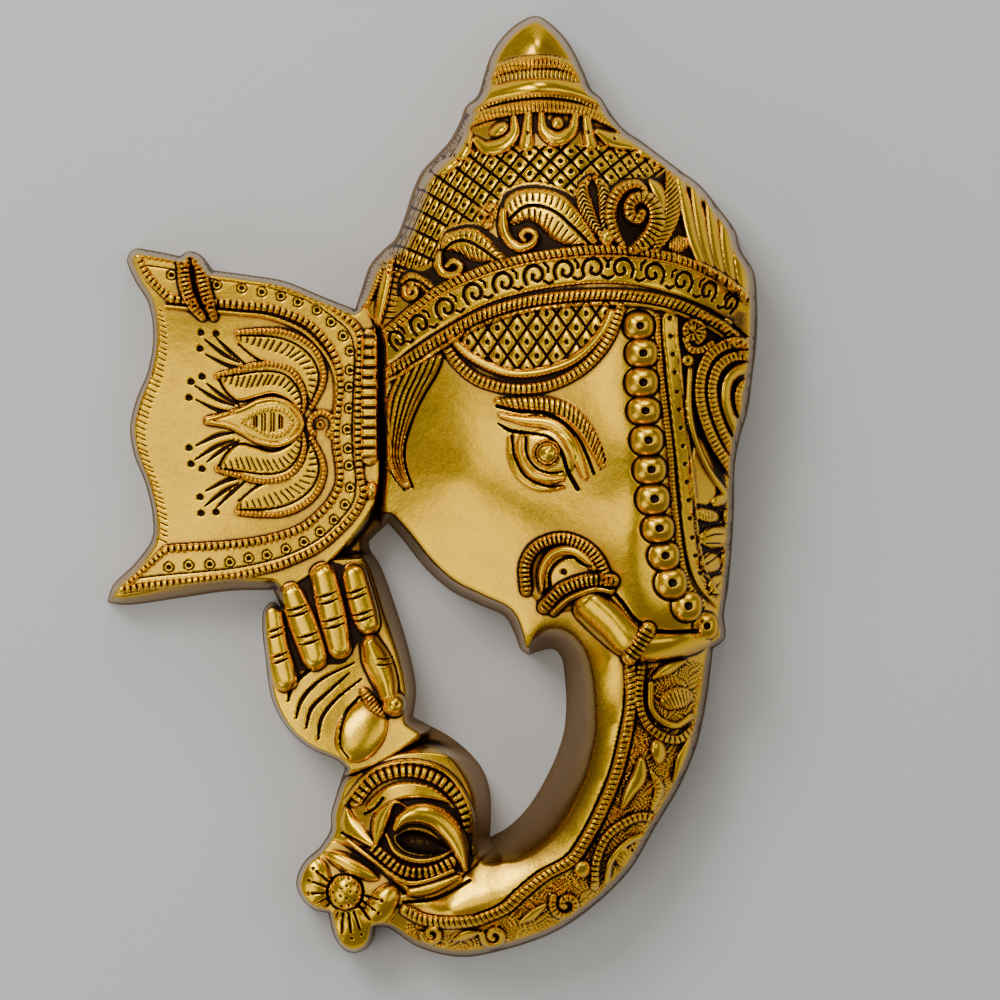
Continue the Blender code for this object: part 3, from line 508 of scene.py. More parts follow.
    def beside(
        self, points: Points, closed: bool, half: float, finest: float
    ) -> tuple[Block, np.ndarray, np.ndarray, np.ndarray | float]:
        """Measures how the block round a curve lies to it.

        Args:
            points: Points of the drawing. A third number is the half width there.
            closed: Whether the curve returns to its start.
            half: The half width where the points give none.
            finest: The least half width.

        Returns:
            The block, the distance to the curve, the place along it and the half width there.
        """
        path = curve(points, closed)
        sized = path.shape[1] > 2
        reach = path[:, 2].max() if sized else half
        block, gap, along = self.near(path, reach)
        wide = np.maximum(np.interp(along, arc_lengths(path), path[:, 2]), finest) if sized else reach
        return block, gap, along, wide

    def cord(
        self, points: Points, half: float, height: float, profile: Profile = Profile.ROUND,
        closed: bool = False, ribs: float = 0.0, slant: float = 0.0, notch: float = 1.1, cut: float = 0.5,
        chevron: bool = False, stain: float = 0.8,
    ) -> None:
        """Raises a moulding along a curve.

        Args:
            points: Points of the drawing. A third number is the half width there.
            half: The half width where the points give none.
            height: How far it stands out.
            profile: The shape of its section.
            closed: Whether it returns to its start.
            ribs: The spacing of the notches across it, or nought for none.
            slant: How far the notches lean along it for each unit across.
            notch: The half width of a notch.
            cut: The depth of a notch as a share of the height.
            chevron: Whether the notches lean the same way on both sides.
            stain: How dark the notches are.
        """
        block, gap, along, wide = self.beside(points, closed, half, FINEST_CORD)
        section = Profile.RIBBED if ribs and profile is Profile.ROUND else profile
        share = np.clip(1 - np.abs(gap / wide) ** section.value, 0, 1) ** 0.5
        ink: np.ndarray | float = 0.0
        if ribs:
            across = np.abs(gap) if chevron else gap
            phase = (along + slant * across) / ribs
            off = np.abs(phase - np.round(phase)) * ribs
            groove = np.clip(1 - (off / notch) ** 2, 0, 1)
            share = share * (1 - cut * groove)
            ink = stain * groove
        self.lift(block, height * share, ink)

    def groove(self, points: Points, half: float, depth: float, closed: bool = False) -> None:
        """Cuts a round groove along a curve, darkened along its bed.

        Args:
            points: Points of the drawing. A third number is the half width there.
            half: The half width where the points give none.
            depth: How deep it is.
            closed: Whether it returns to its start.
        """
        block, gap, _, wide = self.beside(points, closed, half, FINEST_GROOVE)
        share = np.clip(1 - (gap / wide) ** 2, 0, 1)
        self.work(block, -depth * share, GROOVE_INK * share)

    def darken(self, outline: Points) -> None:
        """Stains the whole ground within an outline."""
        block, within = self.filled(outline)
        self.ink[block] = np.where(within, 1.0, self.ink[block])

    def filled(self, outline: Points) -> tuple[Block, np.ndarray]:
        """Finds the block round an outline and which of its points lie within it."""
        path = curve(outline, closed=True)
        block = self.block(path.min(0), path.max(0))
        return block, self.inside(path, block)

    def hatch(self, a: Points, b: Points, count: int, half: float, depth: float) -> None:
        """Cuts a row of short strokes between two curves.

        Args:
            a: The curve that the strokes start from.
            b: The curve that they end on.
            count: How many strokes there are.
            half: The half width of a stroke.
            depth: The depth of a stroke.
        """
        starts, ends = curve(a), curve(b)
        for i in range(count):
            share = (i + 0.5) / count
            one = starts[round(share * (len(starts) - 1)), :2]
            two = ends[round(share * (len(ends) - 1)), :2]
            self.stroke(one, two, half, depth)

    def stroke(self, one: np.ndarray, two: np.ndarray, half: float, depth: float) -> None:
        """Cuts one straight stroke between two centred places."""
        block, gap, _ = self.near(np.array([one, two]), half)
        share = np.clip(1 - (gap / half) ** 2, 0, 1)
        self.work(block, -depth * share, GROOVE_INK * share)

    def patch(self, outline: Points, height: float, bevel: float) -> None:
        """Raises, or with a height below nought lowers, an outline's inside with a bevelled edge."""
        path = curve(outline, closed=True)
        block, gap, _ = self.near(path, bevel)
        within = self.inside(path, block)
        rise = abs(height) * np.where(within, np.clip(np.abs(gap) / bevel, 0, 1), 0.0) ** BEVEL_POWER
        if height < 0:
            self.z[block] -= rise
        else:
            self.lift(block, rise)

    def polar(self, x: float, y: float, radius: float) -> tuple[Block, np.ndarray]:
        """Finds the block round a point of the drawing and the distance to it."""
        x, y = x - MIDDLE[0], MIDDLE[1] - y
        block = self.block((x - radius, y - radius), (x + radius, y + radius))
        across, up = self.places(block)
        return block, np.hypot(across - x, up - y)

    def boss(self, x: float, y: float, radius: float, height: float, hole: float = 0.0) -> None:
        """Raises a round boss, with a dark dimple of the given radius in it."""
        block, gap = self.polar(x, y, radius)
        self.lift(block, height * np.clip(1 - (gap / radius) ** BOSS_POWER, 0, 1) ** 0.5)
        if hole:
            self.punch(x, y, hole, HOLE_DEPTH)

    def punch(self, x: float, y: float, radius: float, depth: float) -> None:
        """Punches a dark round dimple."""
        block, gap = self.polar(x, y, radius + self.step)
        share = np.clip(1 - (gap / radius) ** 2, 0, 1)
        self.work(block, -depth * share**0.5, PUNCH_INK * share)

    def ring(self, x: float, y: float, radius: float, half: float, depth: float) -> None:
        """Cuts a dark ring."""
        self.groove(spiral(x, y, radius, radius, 0, 1), half, depth)

    def lobe(self, x: float, y: float, long: float, wide: float, turn: float, height: float) -> None:
        """Raises an oval mound of the given half length and half width, turned by an angle in degrees."""
        x, y = x - MIDDLE[0], MIDDLE[1] - y
        block = self.block((x - long, y - long), (x + long, y + long))
        across, up = self.places(block)
        dx, dy = across - x, up - y
        c, s = math.cos(math.radians(turn)), math.sin(math.radians(turn))
        gap = ((dx * c + dy * s) / long) ** 2 + ((dy * c - dx * s) / wide) ** 2
        self.lift(block, height * np.clip(1 - gap, 0, 1) ** 0.5)

    def dots(self, points: Points, pitch: float, radius: float, depth: float, height: float = 0.0) -> None:
        """Punches dots, or with a height raises pearls, at an even pitch along a curve.

        Args:
            points: Points of the drawing.
            pitch: The distance from dot to dot.
            radius: A dot's radius.
            depth: A dot's depth.
            height: A pearl's height, or nought for dots.
        """
        path = curve(points)
        length = arc_lengths(path)[-1]
        count = max(1, round(length / pitch))
        for i in range(count + 1):
            x, y = path[round(i / count * (len(path) - 1)), :2]
            place = (x + MIDDLE[0], MIDDLE[1] - y)
            if height:
                self.boss(*place, radius, height)
            else:
                self.punch(*place, radius, depth)

    def net(
        self, outline: Points, one: np.ndarray, two: np.ndarray, pitch: float, line: float, dot: float,
        depth: float
    ) -> None:
        """Cuts a net of crossing lines with a dot in each mesh.

        Args:
            outline: The edge of the net.
            one: The place across the first set of lines, over the whole grid.
            two: The place across the second set.
            pitch: The distance from line to line.
            line: The half width of a line.
            dot: The radius of a dot.
            depth: The depth of the lines.
        """
        block, within = self.filled(outline)
        u, v = one[block] / pitch, two[block] / pitch
        off_u, off_v = np.abs(u - np.round(u)) * pitch, np.abs(v - np.round(v)) * pitch
        lines = np.clip(1 - (np.minimum(off_u, off_v) / line) ** 2, 0, 1)
        middle = np.hypot(pitch / 2 - off_u, pitch / 2 - off_v)
        holes = np.clip(1 - (middle / dot) ** 2, 0, 1)
        pillow = np.clip(1 - (middle / (pitch * PILLOW_REACH)) ** 2, 0, 1) * depth * PILLOW_RISE
        change = pillow - depth * lines - depth * holes**0.5
        self.work(block, np.where(within, change, 0), np.where(within, NET_INK * np.maximum(lines, holes), 0))

    def grain(self, outline: Points, pitch: float, height: float) -> None:
        """Mats the ground within an outline with small uneven grains."""
        block, within = self.filled(outline)
        x, y = self.places(block)
        u = (x + 1.9 * np.sin(y * 0.31) + 1.3 * np.sin(x * 0.17 + y * 0.23)) / pitch
        v = (y + 1.9 * np.sin(x * 0.29) + 1.3 * np.sin(y * 0.19 - x * 0.21)) / pitch
        wave = np.cos(2 * math.pi * u) * np.cos(2 * math.pi * v)
        within &= self.ground[block] >= self.z[block] - 0.5
        dark = np.clip(0.2 - 0.8 * wave, 0, 0.6)
        self.work(block, np.where(within, height * wave, 0), np.where(within, dark, 0))

    def blurred(self, radius: float) -> np.ndarray:
        """Smooths the heights over a radius."""
        cells = max(1, round(radius / self.step))
        smooth = np.maximum(self.z, SMOOTHED_FROM)
        for axis in (0, 1, 0, 1):
            total = np.cumsum(np.pad(smooth, [(cells + 1, cells) if a == axis else (0, 0) for a in (0, 1)],
                                     mode="edge"), axis=axis)
            if axis == 0:
                smooth = (total[2 * cells + 1 :] - total[: -2 * cells - 1]) / (2 * cells + 1)
            else:
                smooth = (total[:, 2 * cells + 1 :] - total[:, : -2 * cells - 1]) / (2 * cells + 1)
        return smooth


def drawn(path: np.ndarray) -> Points:
    """Turns centred places back into points of the drawing."""
    return [(x + MIDDLE[0], MIDDLE[1] - y) for x, y in path[:, :2]]


def between(a: Points, b: Points, share: float, count: int = 8) -> Points:
    """Draws a curve that lies between two others.

    Args:
        a: The curve at share nought.
        b: The curve at share one.
        share: Where between them.
        count: How many stretches it has.

    Returns:
        Points of the drawing.
    """
    one, two = curve(a)[:, :2], curve(b)[:, :2]
    places = []
    for i in range(count + 1):
        first = one[round(i / count * (len(one) - 1))]
        second = two[round(i / count * (len(two) - 1))]
        places.append(first * (1 - share) + second * share)
    return drawn(np.array(places))


def shifted(points: Points, x: float, y: float) -> Points:
    """Moves points of the drawing."""
    return [(p[0] + x, p[1] + y, *p[2:]) for p in points]


BAND: Points = [
    (388, 350), (400, 339), (440, 313), (480, 292), (520, 280), (560, 273), (600, 270), (640, 273),
    (680, 283), (720, 299), (752, 322),
]
BAND_TOP: Points = [
    (380, 339), (400, 322), (440, 291), (480, 273), (520, 261), (560, 255), (600, 252), (640, 254),
    (680, 262), (720, 280), (754, 305),
]
BAND_FOOT: Points = [
    (379, 377), (400, 366), (440, 340), (480, 318), (520, 305), (560, 299), (600, 297), (640, 299),
    (680, 308), (720, 328), (753, 356),
]
SCROLL_TURNS_AT = 600
SCROLL_LONG = 30
SCROLL_MOTIFS = (
    (((-9, 8), (-10, 0), (-6, -7), (2, -9), (8, -4), (8, 3), (3, 7), (-2, 4), (-1, 0)), 2.1),
    (((9, 8), (13, 11), (17, 10)), 1.8),
    (((12, -9), (15, -5), (14, 0)), 1.5),
)
BAND_SCROLLS = (398, 420, 446, 474, 503, 533, 563, 592, 622, 652, 681, 707, 729, 746)
ROPE: Points = [
    (629, 665), (630, 691), (629, 709), (624, 736), (615, 772), (603, 802), (587, 834), (571, 857),
    (543, 873), (520, 892), (506, 905), (479, 917), (451, 920), (423, 917), (406, 908),
]
EAR_BORDER: Points = [
    (141, 255), (160, 258), (180, 262), (212, 272), (240, 276), (262, 280), (290, 288), (320, 300),
    (345, 317), (358, 330), (361, 342), (359, 380), (358, 430), (361, 480), (364, 492), (360, 505),
    (350, 520), (340, 530), (320, 547), (300, 557), (280, 565), (250, 573), (220, 578), (180, 582),
    (150, 585), (122, 589),
]
EAR_BORDER_IN: Points = [
    (170, 299), (210, 303), (240, 306), (270, 309), (290, 315), (310, 325), (325, 340), (335, 355),
    (340, 370), (341, 390), (339, 410), (337, 430), (338, 450), (341, 470), (340, 485), (333, 500),
    (322, 513), (305, 527), (285, 535), (260, 541), (230, 545), (200, 547), (168, 549),
]
EAR_DOTS: Points = [
    (173, 276), (218, 286), (243, 289), (263, 293), (282, 297), (299, 303), (318, 311), (332, 323),
    (344, 337), (351, 352), (351, 371), (350, 388), (350, 409), (348, 430), (349, 449), (350, 466),
    (351, 488), (346, 505), (335, 520), (321, 532), (305, 542), (287, 549), (268, 555), (250, 558),
    (231, 562), (211, 564), (190, 565), (170, 567),
]
FLOWER_MIDDLE = (346, 890)
CROWN_AXIS = 560.0
STUD_PITCH = 14.5
EAR_AXIS = 423.0
STAMENS = (
    (((206, 340), (240, 363)), ((217, 338), (247, 365)), ((207, 355), (245, 369))),
    ((202, 333), (217, 334), (201, 349)),
), (
    (((208, 384), (240, 405)), ((196, 386), (235, 406)), ((197, 400), (235, 413))),
    ((203, 377), (192, 382), (190, 398)),
)


def carve_crown(relief: Relief) -> None:
    """Cuts the stepped spire with its rings, the collar of petals and the net of studs below it."""
    one, two = studs(relief, STUD_PITCH)
    relief.net(
        [(446, 150), (475, 152), (520, 150), (560, 148), (605, 148), (640, 152), (664, 166), (656, 178),
         (640, 180), (622, 182), (612, 186), (602, 184), (590, 174), (577, 182), (576, 200), (566, 193),
         (532, 185), (507, 192), (497, 207), (490, 232), (474, 224), (458, 226), (446, 230), (439, 244),
         (436, 262), (410, 270), (386, 275), (378, 262), (398, 218), (408, 184), (424, 158)],
        one, two, STUD_PITCH, 1.5, 2.6, 4.0,
    )
    low_ring = [(455, 132, 5), (480, 119, 6), (510, 112, 7), (545, 109, 7), (590, 115, 6), (623, 131, 5)]
    main_ring = [(470, 109, 6), (488, 98, 8), (510, 92, 9), (545, 89, 9), (578, 93, 8), (604, 105, 6)]
    relief.cord([(485, 80, 4), (503, 70, 6), (530, 65, 7), (560, 66, 6), (588, 80, 4)],
                7, 8, ribs=4, cut=0.35)
    relief.cord(shifted(main_ring, 0, -9), 2.4, 4, ribs=4, cut=0.35)
    relief.cord(main_ring, 9, 11)
    relief.cord([(x, y + 9) for x, y, _ in main_ring], 2.4, 5, ribs=4, cut=0.35)
    relief.cord(low_ring, 7, 9, ribs=4, cut=0.3)
    relief.cord([(472, 124, 4), (450, 142, 5), (432, 160, 5), (414, 190, 3)], 5, 6, ribs=4.5, cut=0.35)
    for petal, height in (
        ([(514, 121, 4), (514, 136, 6), (502, 148, 8), (485, 150, 7), (476, 142, 4)], 10),
        ([(597, 134, 4), (612, 142, 8), (630, 147, 6)], 10),
        ([(528, 119, 5), (527, 134, 6), (526, 147, 8)], 9),
        ([(586, 121, 5), (588, 136, 6), (590, 146, 7)], 9),
        ([(468, 135, 5), (466, 148, 7), (462, 156, 7)], 9),
        ([(541, 118, 4), (543, 133, 6), (557, 142, 8), (571, 133, 6), (575, 118, 4)], 12),
    ):
        relief.cord(petal, 8, height)
    relief.boss(557, 126, 7, 10)
    relief.lobe(499, 132, 11, 7, 30, 10)
    for x, y, long, wide, turn in (
        (446, 168, 14, 8, 25), (426, 182, 10, 7, 40), (643, 152, 11, 7, -35), (660, 163, 8, 6, -40),
    ):
        relief.lobe(x, y, long, wide, turn, 9)
    for x, y in ((527, 136), (588, 135), (467, 147), (614, 141)):
        relief.punch(x, y, 2.4, 2.5)


@dataclass(frozen=True)
class Spot:
    """A place on a curve of the drawing, with the curve's tilt in radians."""

    x: float
    y: float
    tilt: float

    def point(self, right: float, down: float) -> tuple[float, float]:
        """Gives the point of the drawing that lies right of and below the place, as the curve runs."""
        c, s = math.cos(self.tilt), math.sin(self.tilt)
        return self.x + right * c + down * s, self.y - right * s + down * c


def studs(relief: Relief, pitch: float) -> tuple[np.ndarray, np.ndarray]:
    """Lays a square net round the crown, which turns away to its left.

    Args:
        relief: The relief that it lies on.
        pitch: The distance from line to line.

    Returns:
        The places across both sets of lines.
    """
    x = relief.xs[None, :] + MIDDLE[0] - CROWN_AXIS
    y = MIDDLE[1] - relief.ys[:, None]
    radius = CROWN_AXIS - np.interp(y, (120, 150, 190, 250), (455, 438, 405, 376))
    round_x = radius * np.arcsin(np.clip(x / radius, -0.999, 0.999))
    down = y - 0.0022 * round_x**2
    return (round_x + down) / math.sqrt(2) + pitch / 2, (round_x - down) / math.sqrt(2) + pitch / 2


def carve_leaves(relief: Relief) -> None:
    """Cuts the leaf scrolls that stand on the headband and the folds beside them."""
    relief.darken(
        [(398, 296), (398, 280), (408, 270), (424, 272), (438, 262), (441, 246), (446, 233), (458, 228),
         (474, 226), (490, 234), (499, 240), (499, 208), (507, 194), (532, 187), (566, 195), (577, 203),
         (578, 184), (590, 176), (602, 186), (612, 188), (622, 184), (640, 182), (660, 176), (668, 171),
         (684, 190), (700, 214), (716, 270), (690, 262), (640, 252), (600, 250), (560, 253), (520, 260),
         (480, 272), (440, 290)],
    )
    for outer, inner, foot, strokes in (
        ([(503, 212), (509, 198), (532, 191), (565, 200), (597, 246)],
         [(507, 224), (524, 210), (539, 209), (556, 216), (572, 230), (589, 247)],
         [(512, 228), (528, 224), (541, 232), (553, 243), (575, 250)], 18),
        ([(442, 251), (445, 237), (457, 232), (472, 230), (486, 237), (497, 249), (510, 262)],
         [(444, 253), (453, 245), (466, 243), (482, 251), (499, 264)],
         [(461, 256), (468, 262), (495, 266)], 14),
        ([(400, 283), (409, 274), (422, 277), (438, 290)],
         [(403, 288), (409, 282), (419, 283), (432, 293)],
         [(410, 292), (418, 290), (426, 296)], 8),
    ):
        relief.patch(list(outer) + list(foot)[::-1], 9, 5)
        relief.groove(inner, 2.0, 5)
        relief.hatch(between(outer, inner, 0.22), between(outer, inner, 0.75), strokes, 0.9, 2)
        relief.hatch(between(inner, foot, 0.25), between(inner, foot, 0.9), strokes - 4, 0.9, 2)
    for points, half in (
        ([(503, 214, 4), (504, 232, 6), (510, 244, 6), (519, 250, 6), (532, 246, 5), (535, 238, 4),
          (528, 233, 4), (521, 237, 4), (524, 243, 3)], 6),
        ([(440, 256, 3.5), (439, 268, 5), (445, 276, 5), (457, 275, 4), (461, 268, 4), (453, 263, 4),
          (447, 268, 3)], 5),
        (spiral(412, 293, 2, 8, 150, 1.1), 3.4),
    ):
        relief.cord(points, half, 14)
    relief.boss(487, 226, 6, 6, hole=2)
    relief.patch([(474, 214), (488, 205), (498, 208), (497, 222), (486, 219)], 5, 3)
    relief.cord([(478, 213), (487, 208), (496, 210)], 3, 7, ribs=4)
    for points in (
        [(602, 240, 3), (592, 225, 6), (584, 207, 8), (582, 192, 6), (588, 182, 3)],
        [(605, 238, 3), (603, 222, 5), (604, 204, 7), (601, 190, 6), (594, 181, 3)],
    ):
        relief.cord(points, 8, 12, Profile.BROAD, ribs=4.6, slant=1.0, chevron=True, cut=0.3, stain=0.6)
        relief.groove(points, 1.1, 2.5)
    for points in (
        [(622, 249, 4), (613, 234, 6), (609, 217, 7), (613, 201, 7), (623, 190, 6), (636, 187, 5),
         (644, 192, 3)],
        [(632, 252, 6), (646, 242, 9), (655, 226, 10), (653, 209, 9), (643, 200, 7), (633, 202, 7),
         (628, 210, 7), (630, 219, 7), (637, 222, 6), (641, 216, 5)],
    ):
        relief.cord(points, 8, 16, Profile.BROAD, ribs=5, cut=0.3, stain=0.5)
    relief.boss(606, 240, 9, 14)
    relief.cord([(668, 175, 4), (671, 190, 8), (671, 212, 9), (664, 235, 7), (654, 252, 4)], 9, 12,
                ribs=5, slant=0.9, cut=0.35, stain=0.6)
    relief.cord([(650, 185, 4), (656, 192, 7), (661, 205, 5), (661, 222, 2)], 7, 11)
    for shift in range(5):
        relief.cord(
            [(677 + 15 * shift, 178 + 12 * shift, 4), (685 + 13 * shift, 210 + 9 * shift, 7),
             (692 + 12 * shift, 242 + 9 * shift, 7), (700 + 10.5 * shift, 264 + 8 * shift, 6)],
            7, 12,
        )
    relief.lobe(677, 247, 11, 9, 20, 9)
    relief.hatch([(669, 241), (676, 239), (684, 243)], [(668, 253), (677, 256), (685, 252)], 6, 1, 2)


def carve_band(relief: Relief) -> None:
    """Cuts the headband between its ribbed borders, with its running scroll."""
    relief.cord(BAND, 16, 5, Profile.FLAT)
    relief.cord(BAND_TOP, 4.6, 11, ribs=5.5, slant=0.3, cut=0.4)
    relief.cord([(x, y + 6.5) for x, y in BAND_TOP], 2, 8)
    relief.cord(BAND_FOOT, 5.6, 13, ribs=5.2, slant=-0.3, cut=0.4)
    relief.cord([(x + 1, y + 8.5) for x, y in BAND_FOOT], 2.8, 8)
    line = curve(BAND)
    for i, x in enumerate(BAND_SCROLLS[:-1]):
        nearest = int(np.argmin(np.abs(line[:, 0] + MIDDLE[0] - x)))
        ahead = line[min(nearest + 2, len(line) - 1)] - line[nearest - 2]
        place = Spot(*drawn(line[nearest : nearest + 1])[0], math.atan2(ahead[1], ahead[0]))
        narrow = min(1.0, (BAND_SCROLLS[i + 1] - x) / SCROLL_LONG)
        way = 1 if x < SCROLL_TURNS_AT else -1
        for motif, half in SCROLL_MOTIFS:
            relief.groove([place.point(way * narrow * right, down) for right, down in motif], half, 4)


def carve_panel(relief: Relief) -> None:
    """Cuts the forehead's net panel, the hair lock, the tuft and the column in front of the ear."""
    ridge = [(452, 340), (470, 357), (500, 372), (520, 375), (545, 372), (575, 360), (600, 335), (610, 315)]
    x = relief.xs[None, :] + MIDDLE[0] - 517.0
    y = MIDDLE[1] - relief.ys[:, None] - 329.5
    one, two = (x / 19.5 + y / 28 + 0.5) * 16, (x / 19.5 - y / 28 + 0.5) * 16
    relief.net(ridge + [(612, 304), (560, 308), (520, 314), (480, 326)], one, two, 16.0, 1.5, 2.6, 3.5)
    relief.cord(ridge, 5, 10)
    relief.cord([(445, 345), (455, 361), (475, 379), (500, 388), (520, 390), (550, 386), (580, 371),
                 (600, 351), (613, 328), (619, 311)], 5.6, 11, ribs=5.2, cut=0.4)
    left = [(400, 372), (388, 400), (386, 430), (387, 460), (393, 475), (405, 490)]
    right = [(445, 355), (437, 375), (425, 395), (413, 420), (405, 450), (407, 470), (413, 487)]
    relief.patch(left + right[::-1], 7, 4)
    for share in (0.0, 0.17, 0.34, 0.5, 0.66, 0.82):
        strand = between(left, right, share)
        halves = (1.0, 1.5, 1.6, 1.5, 1.4, 1.3, 1.2, 1.1, 1.0)
        relief.groove([(*point, half) for point, half in zip(strand, halves)], 2, 3)
    relief.groove(right, 1.4, 4)
    relief.cord([(366, 304, 5), (372, 280, 10), (384, 256, 7)], 10, 8)
    relief.cord([(377, 330, 3), (383, 300, 6), (391, 262, 5)], 6, 11)
    relief.hatch([(362, 304), (366, 282), (378, 258)], [(374, 302), (380, 284), (387, 264)], 12, 0.9, 2.2)
    relief.hatch([(395, 250), (392, 285), (386, 322)], [(403, 254), (401, 288), (394, 322)], 12, 0.9, 2.2)
    relief.cord([(370, 338), (370, 398), (370, 457)], 8.5, 12, Profile.FLAT, ribs=10, notch=1.8)
    relief.groove([(381.5, 345), (381, 400), (381, 470), (382, 505)], 2.0, 8)
    relief.lobe(372, 490, 10, 6, 90, 10)


def carve_face(relief: Relief) -> None:
    """Cuts the eye with its brow and lids, and the two strings beside the cheek."""
    brow_top = [(497, 398), (530, 397), (555, 398), (570, 403), (580, 411), (595, 430), (603, 450),
                (607, 460)]
    brow_foot = [(497, 407), (518, 412), (543, 414), (560, 421), (577, 438), (586, 456), (593, 474)]
    halves = (3, 6, 7, 7.5, 8, 8, 7.5, 6, 3)
    relief.cord([(*point, half) for point, half in zip(between(brow_top, brow_foot, 0.45), halves)], 9, 7)
    relief.hatch(between(brow_top, brow_foot, 0.12), shifted(between(brow_top, brow_foot, 0.85), 5, 1),
                 26, 1.1, 2.6)
    relief.lobe(543, 458, 32, 28, 0, 6)
    relief.settle()
    relief.groove(brow_foot, 1.8, 5)
    relief.cord([(500, 416, 2), (524, 421, 5), (548, 424, 6), (563, 434, 6), (574, 452, 6), (584, 478, 3)],
                6, 7)
    relief.groove([(498, 424, 0.8), (510, 431, 2.2), (531, 434, 1.6), (549, 438, 1.6), (561, 453, 2),
                   (567, 471, 2.4), (577, 489, 2.6)], 2.0, 7)
    relief.cord([(509, 438, 1.5), (511, 457, 3.5), (521, 478, 4), (540, 488, 4), (563, 487, 2)], 3, 4)
    relief.groove([(512, 436), (514, 456), (526, 477), (545, 486), (562, 486)], 1.4, 4)
    relief.cord([(520, 437, 1.5), (520, 456, 3), (532, 474, 3.5), (549, 480, 3.5), (563, 479, 2)], 3, 4)
    relief.groove([(526, 438), (527, 456), (537, 469), (550, 473), (562, 472)], 1.4, 4)
    relief.boss(546, 454, 14, 8)
    relief.ring(546.5, 454, 11.3, 1.2, 3)
    relief.boss(546.5, 454, 7.8, 10)
    relief.ring(546.5, 454, 8.4, 1.0, 2)
    relief.cord([(655, 318), (656, 340), (658, 370), (663, 410), (668, 450), (671, 490), (675, 525),
                 (680, 560), (687, 585), (702, 603)], 3.4, 7, ribs=4)
    strip = [(668, 320), (669, 343), (671, 357), (673, 378), (675, 396), (677, 413), (679, 431), (681, 448),
             (683, 466), (685, 485), (687, 503), (688, 520), (690, 535), (693, 553), (699, 574), (707, 588),
             (722, 604)]
    relief.cord(strip, 7, 5, Profile.FLAT)
    relief.cord(shifted(strip, -6.5, 1), 1.8, 6)
    relief.cord(shifted(strip, 6.5, -1), 1.8, 6)
    relief.dots(strip[:-1], 18, 2.6, 3.5)


def carve_ornament(relief: Relief) -> None:
    """Cuts the nested folds, the small spirals and the petals at the right edge."""
    relief.darken(
        [(676, 300), (700, 306), (770, 330), (770, 600), (724, 606), (704, 580), (694, 545), (690, 500),
         (686, 450), (680, 400), (675, 350)],
    )
    for tube, half, ribs in (
        ([(748, 344), (724, 346), (708, 357), (700, 374), (698, 395), (703, 420), (714, 445), (729, 468),
          (738, 484)], 6.0, 4.6),
        ([(750, 356), (730, 358), (717, 368), (711, 383), (711, 400), (717, 422), (728, 445), (739, 462)],
         5.6, 4.6),
        ([(751, 368), (737, 371), (727, 381), (724, 395), (727, 413), (736, 432), (745, 446)], 6.0, 0.0),
        ([(751, 382), (741, 386), (737, 396), (739, 410), (746, 422)], 4.6, 4.6),
        ([(688, 372), (687, 403), (692, 435), (705, 466), (724, 494)], 3.6, 0.0),
    ):
        relief.cord(tube, half, 12, ribs=ribs, cut=0.3, stain=0.6)
    relief.cord(spiral(691, 333, 3, 11, -60, 1.4), 4.2, 10, ribs=4.2, cut=0.4)
    relief.cord([(683, 341, 3), (688, 350, 4), (698, 352, 4), (710, 344, 3)], 4, 9, ribs=4.2, cut=0.4)
    relief.boss(686, 362, 6.5, 8, hole=2.4)
    relief.boss(724, 327, 7, 6, hole=2.4)
    relief.cord([(700, 318), (716, 322), (735, 334)], 3.2, 6)
    relief.patch([(694, 436), (700, 440), (716, 484), (712, 502), (692, 502)], 5, 3)
    relief.grain([(694, 436), (700, 440), (716, 484), (712, 502), (692, 502)], 4.4, 1.4)
    for x, y, long, wide, turn, height in (
        (705, 515, 13, 7, -12, 12), (714, 537, 17, 11, 5, 14), (709, 562, 11, 10, 0, 11),
        (718, 500, 10, 6, 30, 12), (728, 516, 7, 10, 0, 11), (727, 558, 8, 12, 0, 11),
        (716, 584, 9, 11, -40, 11),
    ):
        relief.lobe(x, y, long, wide, turn, height)
    relief.grain([(694, 502), (735, 470), (748, 500), (742, 560), (732, 604), (704, 590), (696, 545)],
                 4.6, 1.6)
    relief.hatch([(699, 510), (706, 508), (714, 510)], [(700, 518), (706, 520), (714, 517)], 5, 0.9, 2)
    for vein in ([(698, 567), (709, 561), (722, 552)], [(700, 560), (710, 552), (718, 548)],
                 [(708, 594), (717, 584), (728, 574)], [(722, 508), (728, 516), (731, 526)],
                 [(722, 552), (727, 558), (731, 568)]):
        relief.groove(vein, 1.3, 3)
    for down in (-6, 0, 6):
        relief.groove([(704, 537 + down, 0.8), (714, 534 + 1.5 * down, 1.5), (728, 534 + 1.8 * down, 0.8)],
                      1.5, 3)


def carve_seats(relief: Relief) -> None:
    """Sinks a dark ring round the foot of each bead: lacquer in the groove and painted shade where the bead
    meets the casting.
    """
    for bead in BEADS:
        ring = [
            (bead.x + (0.5 * bead.wide + 0.6) * math.cos(turn),
             bead.y + (0.5 * bead.tall + 0.6) * math.sin(turn))
            for turn in np.linspace(0, 2 * math.pi, 13)[:-1]
        ]
        relief.groove(ring, 2.3, 2.2, closed=True)


